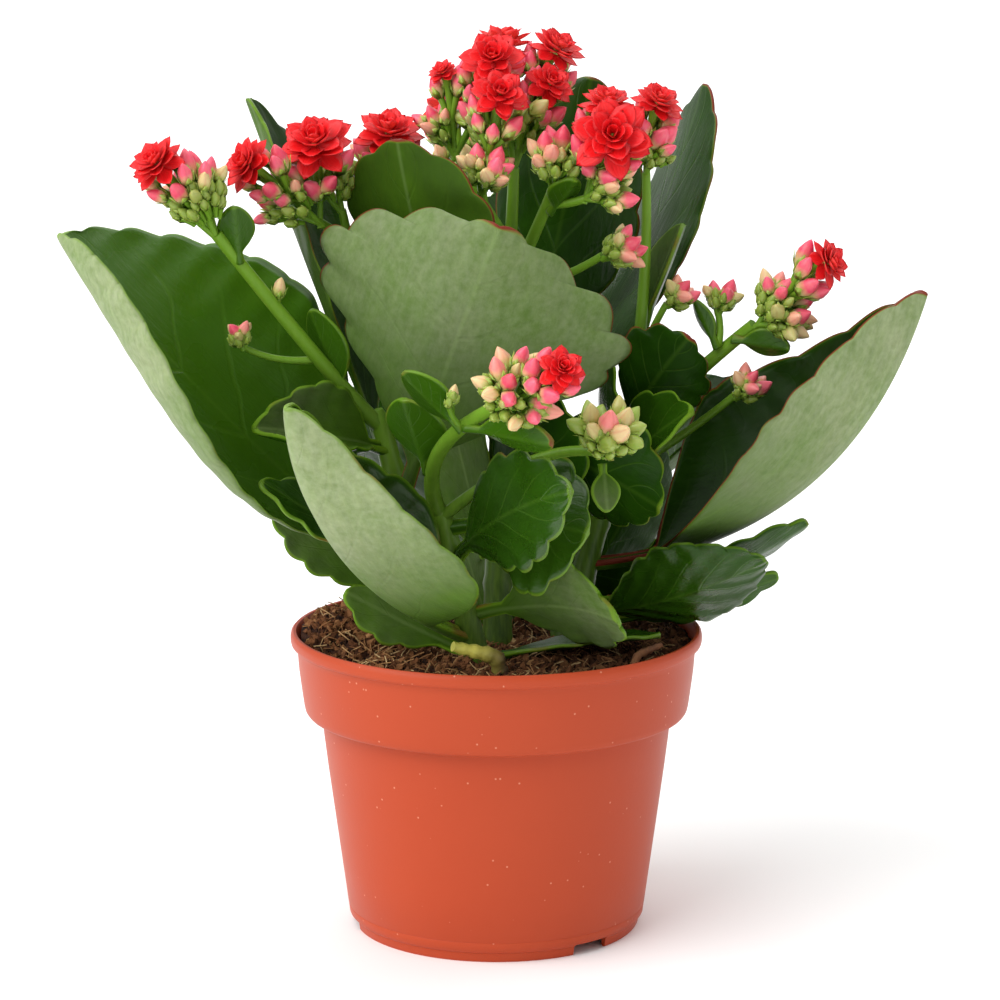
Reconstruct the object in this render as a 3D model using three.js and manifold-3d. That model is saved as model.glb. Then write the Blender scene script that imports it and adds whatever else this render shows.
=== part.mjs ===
// A double-flowered kalanchoe in a thin plastic nursery pot: pot, soil, leafy shoots, large scalloped
// leaves, stalked heads of buds and red double blooms. Millimetres, +Z up, the pot's base centred on
// the origin. The front, as first seen, faces -Y.
import * as THREE from "three";
import { mergeVertices } from "three/addons/utils/BufferGeometryUtils.js";
import Module from "manifold-3d";

const wasm = await Module();
wasm.setup();

// ---- driving dimensions: millimetres, and degrees for angles ----
const SEAT = 0.3; // clearance left where one piece stands in or on another
const RIM_RADIUS = 60;
const POT_HEIGHT = 88.1;
const POT_SIDES = 32;
const FLOOR_Z = 3.6; // underside of the pot's raised floor
const FLOOR_THICKNESS = 1.4;
const FOOT_NOTCH = { first: 310, every: 120, count: 3, width: 12, height: 3.4 };
const DRAIN = { count: 4, radius: 3.5, out: 24 };
const SOIL_TOP = 84;
const SOIL_SIDES = 24;
const LEAF_THICKNESS = { middle: 2.0, margin: 1.0, stalk: 3.6 };
const STALK_HALF_WIDTH = 2.4;
const BUD_SIDES = 4;
const STEM_SIDES = 5;
const SMOOTHING = 0.1; // how far joined faces may be evened out
const BUDS_PER_BRANCH = 4;
const GOLDEN_ANGLE = 2.39996; // radians

// Outside of the pot from the foot up over the rolled lip: [radius, height]
const POT_OUTSIDE = [
  [42.0, 0], [42.3, 2.4], [43.4, 3.4], [51.0, 60.2], [52.2, 62.6], [54.7, 64.9], [56.4, 68.0],
  [58.0, 81.4], [59.7, 84.0], [RIM_RADIUS, 86.0], [59.3, POT_HEIGHT],
];
const POT_INSIDE = [[57.9, 87.2], [56.6, 81.8], [55.0, 68.6], [49.6, 60.6], [42.0, 5.0]];

// Shoots rise from the soil: their foot, their top and their thickness at both
const SHOOTS = {
  left: { foot: [-14, 0, 70], top: [-34, -9, 154], radius: [4.4, 2.8] },
  right: { foot: [16, 2, 70], top: [39, 6, 152], radius: [4.4, 2.8] },
  centre: { foot: [0, -4, 70], top: [2, 6, 182], radius: [4.6, 2.8] },
  front: { foot: [-2, -24, 70], top: [-16, -34, 131], radius: [4.2, 3.0] },
  back: { foot: [2, 22, 70], top: [8, 38, 162], radius: [4.4, 2.8] },
};

// Large leaves: the shoot and height they leave it at, tip, blade width, and their form. bow arches the
// midrib, roll turns the blade about it, fold raises both halves, cup curls each half further (first
// the half to the right of the midrib seen from below), twist turns the blade along its length, sway
// bends the midrib sideways, peak is where the blade is widest, lobes and notch are the scallops.
const LEAVES = [
  ["leaf_wide_left", "left", 100, [-122, -19, 205], 106,
    { roll: -46, fold: 6, cup: [13, 65], twist: 51, sway: -0.08, peak: 0.56, lobes: 13, notch: 1.6 }],
  ["leaf_wide_right", "right", 106, [123, 2, 186], 99,
    { bow: -0.34, roll: -11, fold: 38, cup: [-20, 61], twist: -32, sway: -0.02, peak: 0.42,
      lobes: 9, notch: 1.6 }],
  ["leaf_front_tall", "left", 126, [1, -50, 211], 104,
    { bow: -0.19, roll: -44, fold: 16, cup: [18, 27], peak: 0.64, lobes: 8, notch: 4.6 }],
  ["leaf_centre_tall", "centre", 141, [-27, -21, 232], 55,
    { bow: -0.07, roll: 3, fold: 2, cup: [3, 11], twist: 22, sway: 0.03, peak: 0.68, lobes: 7, notch: 2 }],
  ["leaf_front_left", "front", 91, [-54, -97, 169], 67,
    { bow: -0.22, roll: -23, fold: 50, cup: [60, -10], twist: 21, sway: 0.06, peak: 0.3,
      lobes: 8, notch: 1.4 }],
  ["leaf_front_round", "front", 114, [20, -82, 144], 34,
    { bow: -0.06, roll: -88, fold: -7, cup: [9, 11], twist: -9, sway: 0.09, lobes: 7, notch: 2.2 }],
  ["leaf_front_curved", "front", 124, [25, -59, 128], 41,
    { bow: 0.07, roll: -104, fold: -3, cup: [14, 6], twist: -13, sway: 0.1, peak: 0.58, lobes: 6, notch: 1.6 }],
  ["leaf_front_hanging", "front", 98, [33, -57, 104], 39,
    { bow: -0.2, roll: 124, fold: -14, cup: [13, 5], twist: 12, peak: 0.62, lobes: 6, notch: 2.4 }],
  ["leaf_low_right", "right", 92, [77, -16, 112], 43,
    { bow: -0.12, roll: -43, fold: 3, cup: [12, 6], twist: 18, peak: 0.57, lobes: 9, notch: 1.8 }],
  ["leaf_low_right_back", "right", 95, [91, 8, 118], 38,
    { bow: -0.14, roll: -22, fold: 5, cup: [4, 1], twist: -18, peak: 0.52, lobes: 6, notch: 2 }],
  ["leaf_low_right_under", "right", 87, [83, 12, 101], 20,
    { bow: -0.05, roll: -47, fold: -4, peak: 0.68, lobes: 6, notch: 2 }],
  ["leaf_middle_right", "right", 144, [55, -9, 175], 32,
    { bow: -0.03, roll: -65, fold: 10, cup: [16, 16], sway: 0.06, peak: 0.56, lobes: 6, notch: 2 }],
  ["leaf_back_right_tall", "back", 139, [62, 43, 243], 56,
    { bow: -0.13, roll: 5, cup: [-12, -8], twist: 10, peak: 0.5, lobes: 8, notch: 2 }],
  ["leaf_left_tall", "left", 132, [-72, 24, 240], 40,
    { roll: 14, fold: 28, cup: [15, 12], twist: 14, peak: 0.5, lobes: 7, notch: 1.6 }],
  ["leaf_inner_right", "centre", 147, [46, -36, 131], 37,
    { bow: -0.02, roll: -89, fold: 15, cup: [17, 18], sway: 0.06, peak: 0.57, lobes: 7, notch: 2 }],
  ["leaf_inner_left", "left", 96, [-37, -30, 141], 20,
    { roll: -89, fold: 3, cup: [15, 9], peak: 0.52, lobes: 7, notch: 2 }],
  ["leaf_inner_centre", "centre", 104, [16, -22, 161], 37,
    { roll: -75, fold: 5, cup: [8, 8], peak: 0.6, lobes: 7, notch: 2 }],
  ["leaf_on_soil", "front", 85, [47, -18, 90], 22,
    { bow: 0.03, roll: -6, fold: 8, peak: 0.55, lobes: 5, notch: 1.4 }],
  ["leaf_low_left", "front", 108, [-65, -47, 140], 22,
    { bow: -0.09, roll: -48, fold: 14, cup: [10, 20], peak: 0.5, lobes: 7, notch: 1.6 }],
  ["leaf_back_tall", "back", 146, [28, 28, 246], 46,
    { bow: 0.02, roll: -88, fold: 8, cup: [6, 6], peak: 0.56, lobes: 7, notch: 1.8 }],
  ["leaf_back_low", "back", 92, [20, 97, 113], 62,
    { bow: 0.08, roll: 6, fold: 10, cup: [10, 10], peak: 0.56, lobes: 8, notch: 2 }],
  ["leaf_back_left_low", "back", 98, [-62, 84, 146], 70,
    { bow: -0.1, roll: 8, fold: 18, cup: [20, 20], peak: 0.55, lobes: 8, notch: 2 }],
  ["leaf_back_right_low", "back", 104, [80, 76, 150], 74,
    { bow: -0.12, roll: -6, fold: 18, cup: [18, 18], peak: 0.55, lobes: 8, notch: 2 }],
  ["leaf_back_wide", "back", 120, [-52, 92, 190], 78,
    { bow: -0.15, roll: 5, fold: 20, cup: [20, 20], peak: 0.56, lobes: 9, notch: 2.4 }],
  ["leaf_back_upper", "back", 134, [6, 98, 208], 58,
    { bow: -0.12, roll: -8, fold: 16, cup: [16, 16], peak: 0.58, lobes: 8, notch: 2.2 }],
];

// Small leaves that grow as one with their shoot
const SHOOT_LEAVES = [
  ["right", 131, [55, -26, 156], 30, { bow: -0.07, roll: -106, fold: -19, cup: [0, -14], twist: -40,
    peak: 0.5, lobes: 5, notch: 1.8 }],
  ["left", 142, [-67, -42, 154], 34, { bow: 0.05, roll: -52, fold: 38, cup: [26, 33], twist: -11,
    peak: 0.48, lobes: 7, notch: 1.6 }],
  ["front", 86, [-43, -24, 104], 18, { bow: -0.12, roll: -60, fold: 10, peak: 0.6, lobes: 5, notch: 1.4 }],
  ["right", 97, [49, 21, 138], 42, { roll: -84, fold: 6, cup: [8, 8], peak: 0.58, lobes: 6, notch: 1.8 }],
  ["centre", 96, [-14, 20, 154], 38, { roll: -90, fold: 6, cup: [8, 8], peak: 0.6, lobes: 6, notch: 1.8 }],
  ["right", 122, [31, -4, 173], 36, { roll: -86, fold: 4, cup: [6, 6], peak: 0.6, lobes: 6, notch: 1.8 }],
  ["back", 93, [50, 28, 106], 24, { roll: -84, fold: 4, cup: [8, 8], peak: 0.6, lobes: 6, notch: 1.6 }],
  ["centre", 83, [-8, 12, 108], 26, { roll: -92, fold: 4, cup: [6, 6], peak: 0.6, lobes: 6, notch: 1.6 }],
  ["left", 91, [-65, 4, 129], 26, { bow: -0.04, roll: -72, fold: 10, cup: [12, 12], peak: 0.6, lobes: 7, notch: 1.6 }],
];

// A bit of old root and a withered leaf stalk that stand in the soil: their path and thickness
const LOOSE_BITS = [
  { name: "root_twig", kind: "root", path: [[37, -33, 79], [40, -30, 87], [47, -26, 89]],
    radii: [1.3, 1.2, 0.8] },
  { name: "withered_stalk", kind: "withered", path: [[3, -41, 78], [0, -44, 90], [-12, -49, 94]],
    radii: [2.0, 2.4, 1.5] },
];

// Flower heads: branching stems [from, via, to, thickness at both ends], clusters of buds that fan out
// from a fork to a crown, narrow bracts, and the double blooms: [centre, radius]
const HEADS = [
  {
    name: "head_left", shoot: "left",
    stems: [
      [[-34, -9, 150], [-42, -14, 158], [-77, -34, 207], 2.5, 1.8],
      [[-49, -18, 170], [-62, -18, 168], [-71, -22, 174], 1.2, 0.9],
    ],
    clusters: [
      { fork: [-77, -34, 206], crown: [-87, -38, 229], spread: 36, buds: 16, size: 2.3 },
      { fork: [-71, -22, 173], crown: [-73, -24, 182], spread: 42, buds: 5, size: 1.6 },
      { fork: [-61, -25, 187], crown: [-60, -26, 195], spread: 10, buds: 1, size: 2.0 },
    ],
    bracts: [
      { from: [-71, -31, 199], tip: [-72, -36, 215], width: 11, roll: 20, fold: 18 },
      { from: [-42, -15, 159], tip: [-52, -17, 184], width: 15, roll: 40, fold: 8 },
    ],
    blooms: [[[-92, -42, 227], 8]],
  },
  {
    name: "head_upper_left", shoot: "centre",
    stems: [
      [[1, 4, 172], [-18, 16, 184], [-42, 6, 200], 2.2, 1.8],
      [[-42, 6, 199], [-46, 2, 204], [-51, -6, 208], 1.6, 1.2],
      [[-42, 6, 199], [-43, 4, 204], [-44, 2, 210], 1.6, 1.2],
      [[-20, 10, 186], [-28, 12, 196], [-32, 11, 212], 1.6, 1.2],
    ],
    clusters: [
      { fork: [-50, -6, 207], crown: [-67, -16, 219], spread: 34, buds: 7, size: 2.2 },
      { fork: [-44, 2, 209], crown: [-50, 0, 229], spread: 38, buds: 9, size: 2.1 },
      { fork: [-32, 11, 211], crown: [-34, 10, 236], spread: 36, buds: 9, size: 2.3 },
    ],
    bracts: [],
    blooms: [[[-69, -20, 225], 8], [[-51, -7, 229], 11], [[-31, 5, 231], 10]],
  },
  {
    name: "head_centre", shoot: "centre",
    stems: [
      [[2, 6, 178], [4, 4, 190], [5, 2, 222], 2.2, 1.6],
      [[3, 5, 186], [-2, -4, 200], [-4, -16, 217], 1.6, 1.4],
      [[3, 5, 186], [8, 0, 196], [16, -12, 217], 2.0, 1.6],
      [[15, -10, 213], [20, -14, 213], [25, -16, 215], 1.4, 1.2],
      [[4, 3, 188], [16, 0, 188], [30, -8, 198], 1.4, 1.1],
      [[4, 4, 200], [-4, 6, 212], [-12, 6, 226], 1.4, 1.1],
    ],
    clusters: [
      { fork: [5, 2, 221], crown: [2, 2, 252], spread: 44, buds: 22, size: 2.4 },
      { fork: [-12, 6, 225], crown: [-20, 6, 241], spread: 30, buds: 6, size: 1.9 },
      { fork: [-4, -16, 216], crown: [-1, -21, 231], spread: 46, buds: 11, size: 2.2 },
      { fork: [16, -12, 216], crown: [18, -19, 236], spread: 36, buds: 10, size: 2.3 },
      { fork: [25, -16, 215], crown: [40, -24, 221], spread: 38, buds: 8, size: 2.1 },
      { fork: [30, -8, 197], crown: [42, -14, 204], spread: 40, buds: 8, size: 2.1 },
    ],
    bracts: [{ from: [15, -10, 211], tip: [22, -20, 221], width: 10, roll: -10, fold: 14 }],
    blooms: [
      [[-1, -6, 253], 9], [[2, 8, 256], 9], [[17, 6, 255], 8], [[1, -18, 244], 8], [[15, -4, 246], 7],
      [[-15, 0, 249], 4.5], [[32, -26, 233], 11.5], [[31, -14, 241], 8],
    ],
  },
  {
    name: "head_upper_right", shoot: "right",
    stems: [
      [[39, 6, 150], [44, 8, 188], [43, 8, 220], 2.2, 1.3],
      [[41, 7, 164], [43, 5, 172], [49, 3, 183], 1.2, 1.0],
    ],
    clusters: [
      { fork: [43, 8, 219], crown: [47, 6, 234], spread: 44, buds: 7, size: 2.1 },
      { fork: [49, 3, 182], crown: [57, 1, 190], spread: 46, buds: 6, size: 2.0 },
    ],
    bracts: [{ from: [42, 8.4, 175], tip: [54, 11, 205], width: 17, roll: 10, fold: 28 }],
    blooms: [[[46, 5, 240], 7.5]],
  },
  {
    name: "head_right", shoot: "right",
    stems: [
      [[37, 6, 141], [54, 15, 158], [74, 1, 177], 2.4, 1.9],
      [[64, 4, 171], [65, 5, 175], [64, 6, 180], 1.2, 1.0],
    ],
    clusters: [
      { fork: [75, 0, 177], crown: [90, -4, 188], spread: 56, buds: 16, size: 2.3 },
      { fork: [64, 6, 179], crown: [66, 6, 190], spread: 46, buds: 7, size: 1.9 },
    ],
    bracts: [
      { from: [68, 2, 173], tip: [84, -4, 171], width: 10, roll: -60, fold: 16 },
      { from: [64, 4, 170], tip: [57, 4, 184], width: 6, roll: 60, fold: 20 },
    ],
    blooms: [[[94, -8, 196], 7]],
  },
  {
    name: "head_right_low", shoot: "right",
    stems: [[[35, 5, 133], [50, 14, 138], [69, 4, 156], 1.6, 1.2]],
    clusters: [{ fork: [69, 4, 155], crown: [77, 0, 164], spread: 46, buds: 6, size: 2.0 }],
    bracts: [],
    blooms: [],
  },
  {
    name: "head_front", shoot: "front",
    stems: [
      [[-16, -34, 129], [-24, -44, 150], [2, -72, 166], 2.4, 1.8],
      [[-9, -60, 157], [-12, -62, 160], [-13, -65, 165], 0.9, 0.7],
    ],
    clusters: [
      { fork: [2, -72, 165], crown: [11, -85, 176], spread: 62, buds: 15, size: 2.4 },
      { fork: [-13, -65, 164], crown: [-10, -67, 170], spread: 26, buds: 2, size: 1.7 },
    ],
    bracts: [
      { from: [-8, -61, 158], tip: [15, -82, 157], width: 13, roll: -60, fold: 20 },
      { from: [-9, -60, 157], tip: [-25, -62, 173], width: 15, roll: 40, fold: 10 },
      { from: [-19, -41, 142], tip: [-25, -52, 164], width: 20, roll: 0, fold: 11 },
    ],
    blooms: [[[17, -90, 178], 6.5]],
  },
  {
    name: "head_front_cream", shoot: "front",
    stems: [[[-16, -34, 127], [12, -44, 152], [29, -58, 150], 1.8, 1.4]],
    clusters: [{ fork: [29, -58, 149], crown: [32, -67, 165], spread: 50, buds: 13, size: 2.5 }],
    bracts: [{ from: [29, -57, 147], tip: [30, -60, 134], width: 9, roll: 0, fold: 10 }],
    blooms: [],
  },
  {
    name: "head_back", shoot: "back",
    stems: [[[8, 38, 160], [4, 44, 180], [-8, 48, 208], 2.2, 1.6]],
    clusters: [{ fork: [-8, 48, 207], crown: [-12, 52, 230], spread: 44, buds: 12, size: 2.2 }],
    bracts: [{ from: [-6, 47, 203], tip: [-22, 56, 212], width: 10, roll: 20, fold: 16 }],
    blooms: [[[-14, 56, 234], 9]],
  },
];

const green = { color: 0x3f7a2a, roughness: 0.45, metalness: 0 };
const MATERIALS = {
  pot: { color: 0xc8603f, roughness: 0.5, metalness: 0 },
  soil: { color: 0x4a2c1c, roughness: 1, metalness: 0 },
  shoot: { color: 0x6d9a3c, roughness: 0.5, metalness: 0 },
  leaf: green,
  head: { color: 0x9dbb5a, roughness: 0.5, metalness: 0 },
  bloom: { color: 0xd9201c, roughness: 0.45, metalness: 0 },
  withered: { color: 0xb9a93a, roughness: 0.7, metalness: 0 },
  root: { color: 0x5a3522, roughness: 0.9, metalness: 0 },
};

// ---- small helpers ----
const vec = (p) => new THREE.Vector3(...p);
const rad = THREE.MathUtils.degToRad;
const mix = THREE.MathUtils.lerp;
const clamp01 = (x) => Math.min(Math.max(x, 0), 1);

// A repeatable draw between 0 and 1 for repeat i of thing k
function draw(i, k) {
  const s = Math.sin(i * 12.9898 + k * 78.233) * 43758.5453;
  return s - Math.floor(s);
}

// A closed mesh, given as points and triangles, as a solid with its faces outward
function solidFrom(points, triangles) {
  const vertProperties = new Float32Array(points.flatMap((p) => [p.x, p.y, p.z]));
  const turned = () => triangles.flatMap(([a, b, c]) => [a, c, b]);
  const make = (list) => {
    const mesh = new wasm.Mesh({ numProp: 3, vertProperties, triVerts: new Uint32Array(list) });
    return new wasm.Manifold(mesh);
  };
  const solid = make(triangles.flat());
  return solid.volume() > 0 ? solid : make(turned());
}

function geometryFrom(solid) {
  const mesh = solid.asOriginal().simplify(SMOOTHING).getMesh();
  const geometry = new THREE.BufferGeometry();
  geometry.setAttribute("position", new THREE.BufferAttribute(mesh.vertProperties, 3));
  geometry.setIndex(new THREE.BufferAttribute(mesh.triVerts, 1));
  return geometry;
}

function solidOf(geometry) {
  const bare = geometry.clone();
  bare.deleteAttribute("normal");
  bare.deleteAttribute("uv");
  const merged = mergeVertices(bare, 1e-4);
  const at = merged.getAttribute("position");
  const points = [...Array(at.count).keys()].map((i) => new THREE.Vector3().fromBufferAttribute(at, i));
  const index = merged.getIndex().array;
  const triangles = [];
  for (let i = 0; i < index.length; i += 3) {
    const t = [index[i], index[i + 1], index[i + 2]];
    if (new Set(t).size === 3) triangles.push(t);
  }
  return solidFrom(points, triangles);
}

// The largest body of a cut solid, without the crumbs that a cut may leave
function largest(solid) {
  return solid.decompose().reduce((a, b) => (b.volume() > a.volume() ? b : a));
}

function joined(solids) {
  return wasm.Manifold.union(solids);
}

// Rings of points along a path, closed at both ends, or to a point where the last radius is 0
function loft(path, radii, sides, turn = 0) {
  const points = [];
  const triangles = [];
  const rings = [];
  path.forEach((p, i) => {
    const ahead = path[Math.min(i + 1, path.length - 1)];
    const behind = path[Math.max(i - 1, 0)];
    const along = ahead.clone().sub(behind).normalize();
    const across = new THREE.Vector3(0.31, 0.9, 0.3).cross(along).normalize();
    const other = along.clone().cross(across);
    if (radii[i] === 0) {
      points.push(p.clone());
      rings.push([points.length - 1]);
      return;
    }
    const ring = [];
    for (let j = 0; j < sides; j++) {
      const a = turn + (2 * Math.PI * j) / sides;
      const q = p.clone().addScaledVector(across, radii[i] * Math.cos(a));
      points.push(q.addScaledVector(other, radii[i] * Math.sin(a)));
      ring.push(points.length - 1);
    }
    rings.push(ring);
  });
  for (let i = 0; i + 1 < rings.length; i++) {
    const [a, b] = [rings[i], rings[i + 1]];
    for (let j = 0; j < sides; j++) {
      const k = (j + 1) % sides;
      if (b.length === 1) {
        triangles.push([a[j], a[k], b[0]]);
      } else {
        triangles.push([a[j], a[k], b[k]], [a[j], b[k], b[j]]);
      }
    }
  }
  const cap = (ring, flip) => {
    for (let j = 1; j + 1 < ring.length; j++) {
      triangles.push(flip ? [ring[0], ring[j + 1], ring[j]] : [ring[0], ring[j], ring[j + 1]]);
    }
  };
  cap(rings[0], true);
  if (rings.at(-1).length > 1) cap(rings.at(-1), false);
  return solidFrom(points, triangles);
}

function bent([from, via, to, thick, thin], steps = 3, extra = 0) {
  const curve = new THREE.QuadraticBezierCurve3(vec(from), vec(via), vec(to));
  const path = curve.getPoints(steps);
  return loft(path, path.map((_, i) => mix(thick, thin, i / steps) + extra), STEM_SIDES);
}

// ---- pot ----
function ring(profile, sides) {
  const closed = [...profile, profile[0]].map(([r, z]) => new THREE.Vector2(r, z));
  return solidOf(new THREE.LatheGeometry(closed, sides).rotateX(Math.PI / 2));
}

function block(width, depth, height, angle, out, z) {
  const box = new THREE.BoxGeometry(depth, width, height);
  box.translate(out, 0, z).rotateZ(rad(angle));
  return solidOf(box);
}

function makePot() {
  const wall = [...POT_OUTSIDE, ...POT_INSIDE];
  const foot = [[40.6, FLOOR_Z], [40.4, 0]];
  const floorTop = FLOOR_Z + FLOOR_THICKNESS;
  const section = [...wall, [0, floorTop], [0, FLOOR_Z], ...foot];
  let pot = ring(section, POT_SIDES);
  for (let i = 0; i < FOOT_NOTCH.count; i++) {
    const angle = FOOT_NOTCH.first + FOOT_NOTCH.every * i;
    const height = FOOT_NOTCH.height;
    pot = pot.subtract(block(FOOT_NOTCH.width, 9, height * 2, angle, RIM_RADIUS * 0.7, 0));
  }
  for (let i = 0; i < DRAIN.count; i++) {
    const hole = new THREE.CylinderGeometry(DRAIN.radius, DRAIN.radius, 10, 8).rotateX(Math.PI / 2);
    const angle = rad(45 + (360 * i) / DRAIN.count);
    hole.translate(DRAIN.out * Math.cos(angle), DRAIN.out * Math.sin(angle), 4);
    pot = pot.subtract(solidOf(hole));
  }
  return pot;
}

// ---- soil ----
// Height of the soil: a little hollow, mounded to the back left, with lumps
function soilHeight(x, y) {
  const far = Math.hypot(x, y);
  const mound = 9 * Math.exp(-((x + 41) ** 2 + (y - 4) ** 2) / 280);
  const lumps = 0.7 * Math.sin(0.31 * x + 1.3) * Math.sin(0.27 * y + 0.4);
  return SOIL_TOP + mound + lumps + 0.9 * Math.sin(0.9 * x + 0.7 * y) * (far < 50 ? 1 : 0.4);
}

function makeSoil(stems) {
  const radii = [14, 28, 40, 50, 55.4];
  const insideAt = (z) => {
    const rows = [...POT_INSIDE].reverse();
    const k = Math.max(1, rows.findIndex((p) => p[1] >= z));
    const [a, b] = [rows[k - 1], rows[k]];
    return mix(a[0], b[0], (z - a[1]) / (b[1] - a[1]));
  };
  const points = [new THREE.Vector3(0, 0, soilHeight(0, 0))];
  const rows = [];
  const addRow = (radius, height) => {
    const row = [];
    for (let j = 0; j < SOIL_SIDES; j++) {
      const a = (2 * Math.PI * j) / SOIL_SIDES;
      const [x, y] = [radius * Math.cos(a), radius * Math.sin(a)];
      points.push(new THREE.Vector3(x, y, height ?? soilHeight(x, y)));
      row.push(points.length - 1);
    }
    rows.push(row);
  };
  radii.forEach((r) => addRow(r));
  const polygonGap = 0.6; // the pot's wall has flat sides, which come in between its corners
  [70, 60].forEach((z) => addRow(insideAt(z) - polygonGap, z));
  const bottom = FLOOR_Z + FLOOR_THICKNESS + SEAT;
  addRow(insideAt(bottom + 0.4) - polygonGap, bottom);
  points.push(new THREE.Vector3(0, 0, bottom));
  const last = points.length - 1;
  const triangles = [];
  for (let j = 0; j < SOIL_SIDES; j++) {
    const k = (j + 1) % SOIL_SIDES;
    triangles.push([0, rows[0][j], rows[0][k]]);
    for (let i = 0; i + 1 < rows.length; i++) {
      const [a, b] = [rows[i], rows[i + 1]];
      triangles.push([a[j], b[j], b[k]], [a[j], b[k], a[k]]);
    }
    triangles.push([last, rows.at(-1)[k], rows.at(-1)[j]]);
  }
  let soil = solidFrom(points, triangles);
  stems.forEach((stem) => (soil = soil.subtract(stem)));
  return soil;
}

function looseBit({ path, radii }, extra = 0) {
  const points = path.map(vec);
  points[0].z -= extra;
  return loft(points, radii.map((r) => r + extra), 6);
}

// ---- leaves ----
function shootPoint(name, z) {
  const { foot, top } = SHOOTS[name];
  return vec(foot).lerp(vec(top), (z - foot[2]) / (top[2] - foot[2]));
}

// The midrib at m (0 root, 1 tip): its point, direction, and the blade's upward and sideways directions
function midrib(leaf, m) {
  const { root, tip, bow = 0, sway = 0, roll = 0, twist = 0 } = leaf;
  const chord = tip.clone().sub(root);
  const length = chord.length();
  const along = chord.clone().normalize();
  const up = new THREE.Vector3(0, 0, 1).addScaledVector(along, -along.z).normalize();
  up.applyAxisAngle(along, rad(roll));
  const side = along.clone().cross(up);
  const elbow = root.clone().add(tip).multiplyScalar(0.5);
  elbow.addScaledVector(up, bow * length).addScaledVector(side, sway * length);
  const curve = new THREE.QuadraticBezierCurve3(root, elbow, tip);
  const point = curve.getPoint(m);
  const T = curve.getTangent(m);
  const N = up.clone().addScaledVector(T, -T.dot(up)).normalize();
  const B = T.clone().cross(N);
  const turn = rad(twist) * (m - 0.5);
  const n = N.clone().multiplyScalar(Math.cos(turn)).addScaledVector(B, Math.sin(turn));
  const b = B.clone().multiplyScalar(Math.cos(turn)).addScaledVector(N, -Math.sin(turn));
  return { point, n, b };
}

function halfWidth(leaf, m) {
  const { width, peak = 0.55, petiole = 0.14 } = leaf;
  const k = Math.log(0.5) / Math.log(peak);
  const t = clamp01((m - petiole) / (1 - petiole));
  const blade = (width / 2) * Math.sin(Math.PI * t ** k) ** (0.55 + 0.45 * (1 - t));
  return Math.max((leaf.stalk ?? STALK_HALF_WIDTH) * (1 - 0.55 * m), blade);
}

// How much of the margin's length lies between the tip and each even step down the midrib
function marginShares(leaf) {
  const steps = 100;
  const stride = leaf.tip.distanceTo(leaf.root) / steps;
  const shares = [0];
  for (let i = steps; i > 0; i--) {
    const drop = halfWidth(leaf, i / steps) - halfWidth(leaf, (i - 1) / steps);
    shares.push(shares.at(-1) + Math.hypot(stride, drop));
  }
  return shares.map((share) => share / shares.at(-1));
}

// The lobes lie evenly along the margin: their number from the tip to m, and the m that a number is at
function lobePhase(leaf, m) {
  leaf.shares ??= marginShares(leaf);
  const at = (1 - m) * (leaf.shares.length - 1);
  const i = Math.min(Math.floor(at), leaf.shares.length - 2);
  return leaf.lobes * mix(leaf.shares[i], leaf.shares[i + 1], at - i) + 0.35;
}

function lobeStop(leaf, phase) {
  let [low, high] = [0, 1];
  for (let i = 0; i < 30; i++) {
    const m = (low + high) / 2;
    if (lobePhase(leaf, m) > phase) low = m;
    else high = m;
  }
  return low;
}

// How far the margin steps inward, as [along, across]: rounded lobes with a sharp notch between them
function scallop(leaf, m, s) {
  if (!leaf.lobes) return [0, 0];
  const phase = lobePhase(leaf, m);
  const p = phase - Math.floor(phase + 1e-9);
  const lobe = Math.sin(Math.PI * clamp01(p) ** 0.75);
  const depth = (1 - lobe) * leaf.notch * clamp01(3 * m - 0.6) * Math.abs(s) ** 3;
  const [before, after] = [m - 0.005, Math.min(m + 0.005, 1)];
  const run = (after - before) * leaf.tip.distanceTo(leaf.root);
  const slope = (halfWidth(leaf, after) - halfWidth(leaf, before)) / run;
  return [(depth * slope) / Math.hypot(1, slope), -depth / Math.hypot(1, slope)];
}

// A point of the blade's middle surface at m along and s across (-1 to 1)
function bladePoint(leaf, m, s) {
  const [back, inward] = scallop(leaf, m, s);
  const { point, n, b } = midrib(leaf, m + back / leaf.tip.distanceTo(leaf.root));
  const { fold = 0, cup = [0, 0] } = leaf;
  const reach = Math.abs(s);
  const steps = 10;
  let out = 0;
  let rise = 0;
  for (let i = 0; i < steps; i++) {
    const u = ((i + 0.5) / steps) * reach;
    const angle = rad(fold * (1 - Math.exp(-u / 0.18)) + (s > 0 ? cup[0] : cup[1]) * u);
    out += (Math.cos(angle) * reach) / steps;
    rise += (Math.sin(angle) * reach) / steps;
  }
  const w = halfWidth(leaf, m) + inward;
  return point.addScaledVector(b, Math.sign(s) * out * w).addScaledVector(n, rise * w);
}

function bladeNormal(leaf, m, s) {
  const e = 1e-3;
  const [m0, m1] = [Math.max(m - e, 0), Math.min(m + e, 1)];
  const [s0, s1] = [Math.max(s - e, -1), Math.min(s + e, 1)];
  const smooth = { ...leaf, notch: 0 };
  const along = bladePoint(smooth, m1, s).sub(bladePoint(smooth, m0, s));
  const across = bladePoint(smooth, m, s1).sub(bladePoint(smooth, m, s0));
  return across.cross(along).normalize();
}

// Where along the margin a point is needed: at the stalk, in each notch and on each lobe
function marginStops(leaf) {
  const stops = [0, 0.18];
  if (!leaf.lobes) return [0, 0.18, 0.4, 0.65, 0.85, 1];
  for (let k = Math.floor(lobePhase(leaf, 0.25)); k >= 0; k--) {
    for (const phase of [k + 0.4, k]) {
      const m = lobeStop(leaf, phase);
      if (m > 0.24 && m < 0.995) stops.push(m);
    }
  }
  return [...stops, 1].sort((a, b) => a - b);
}

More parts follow.
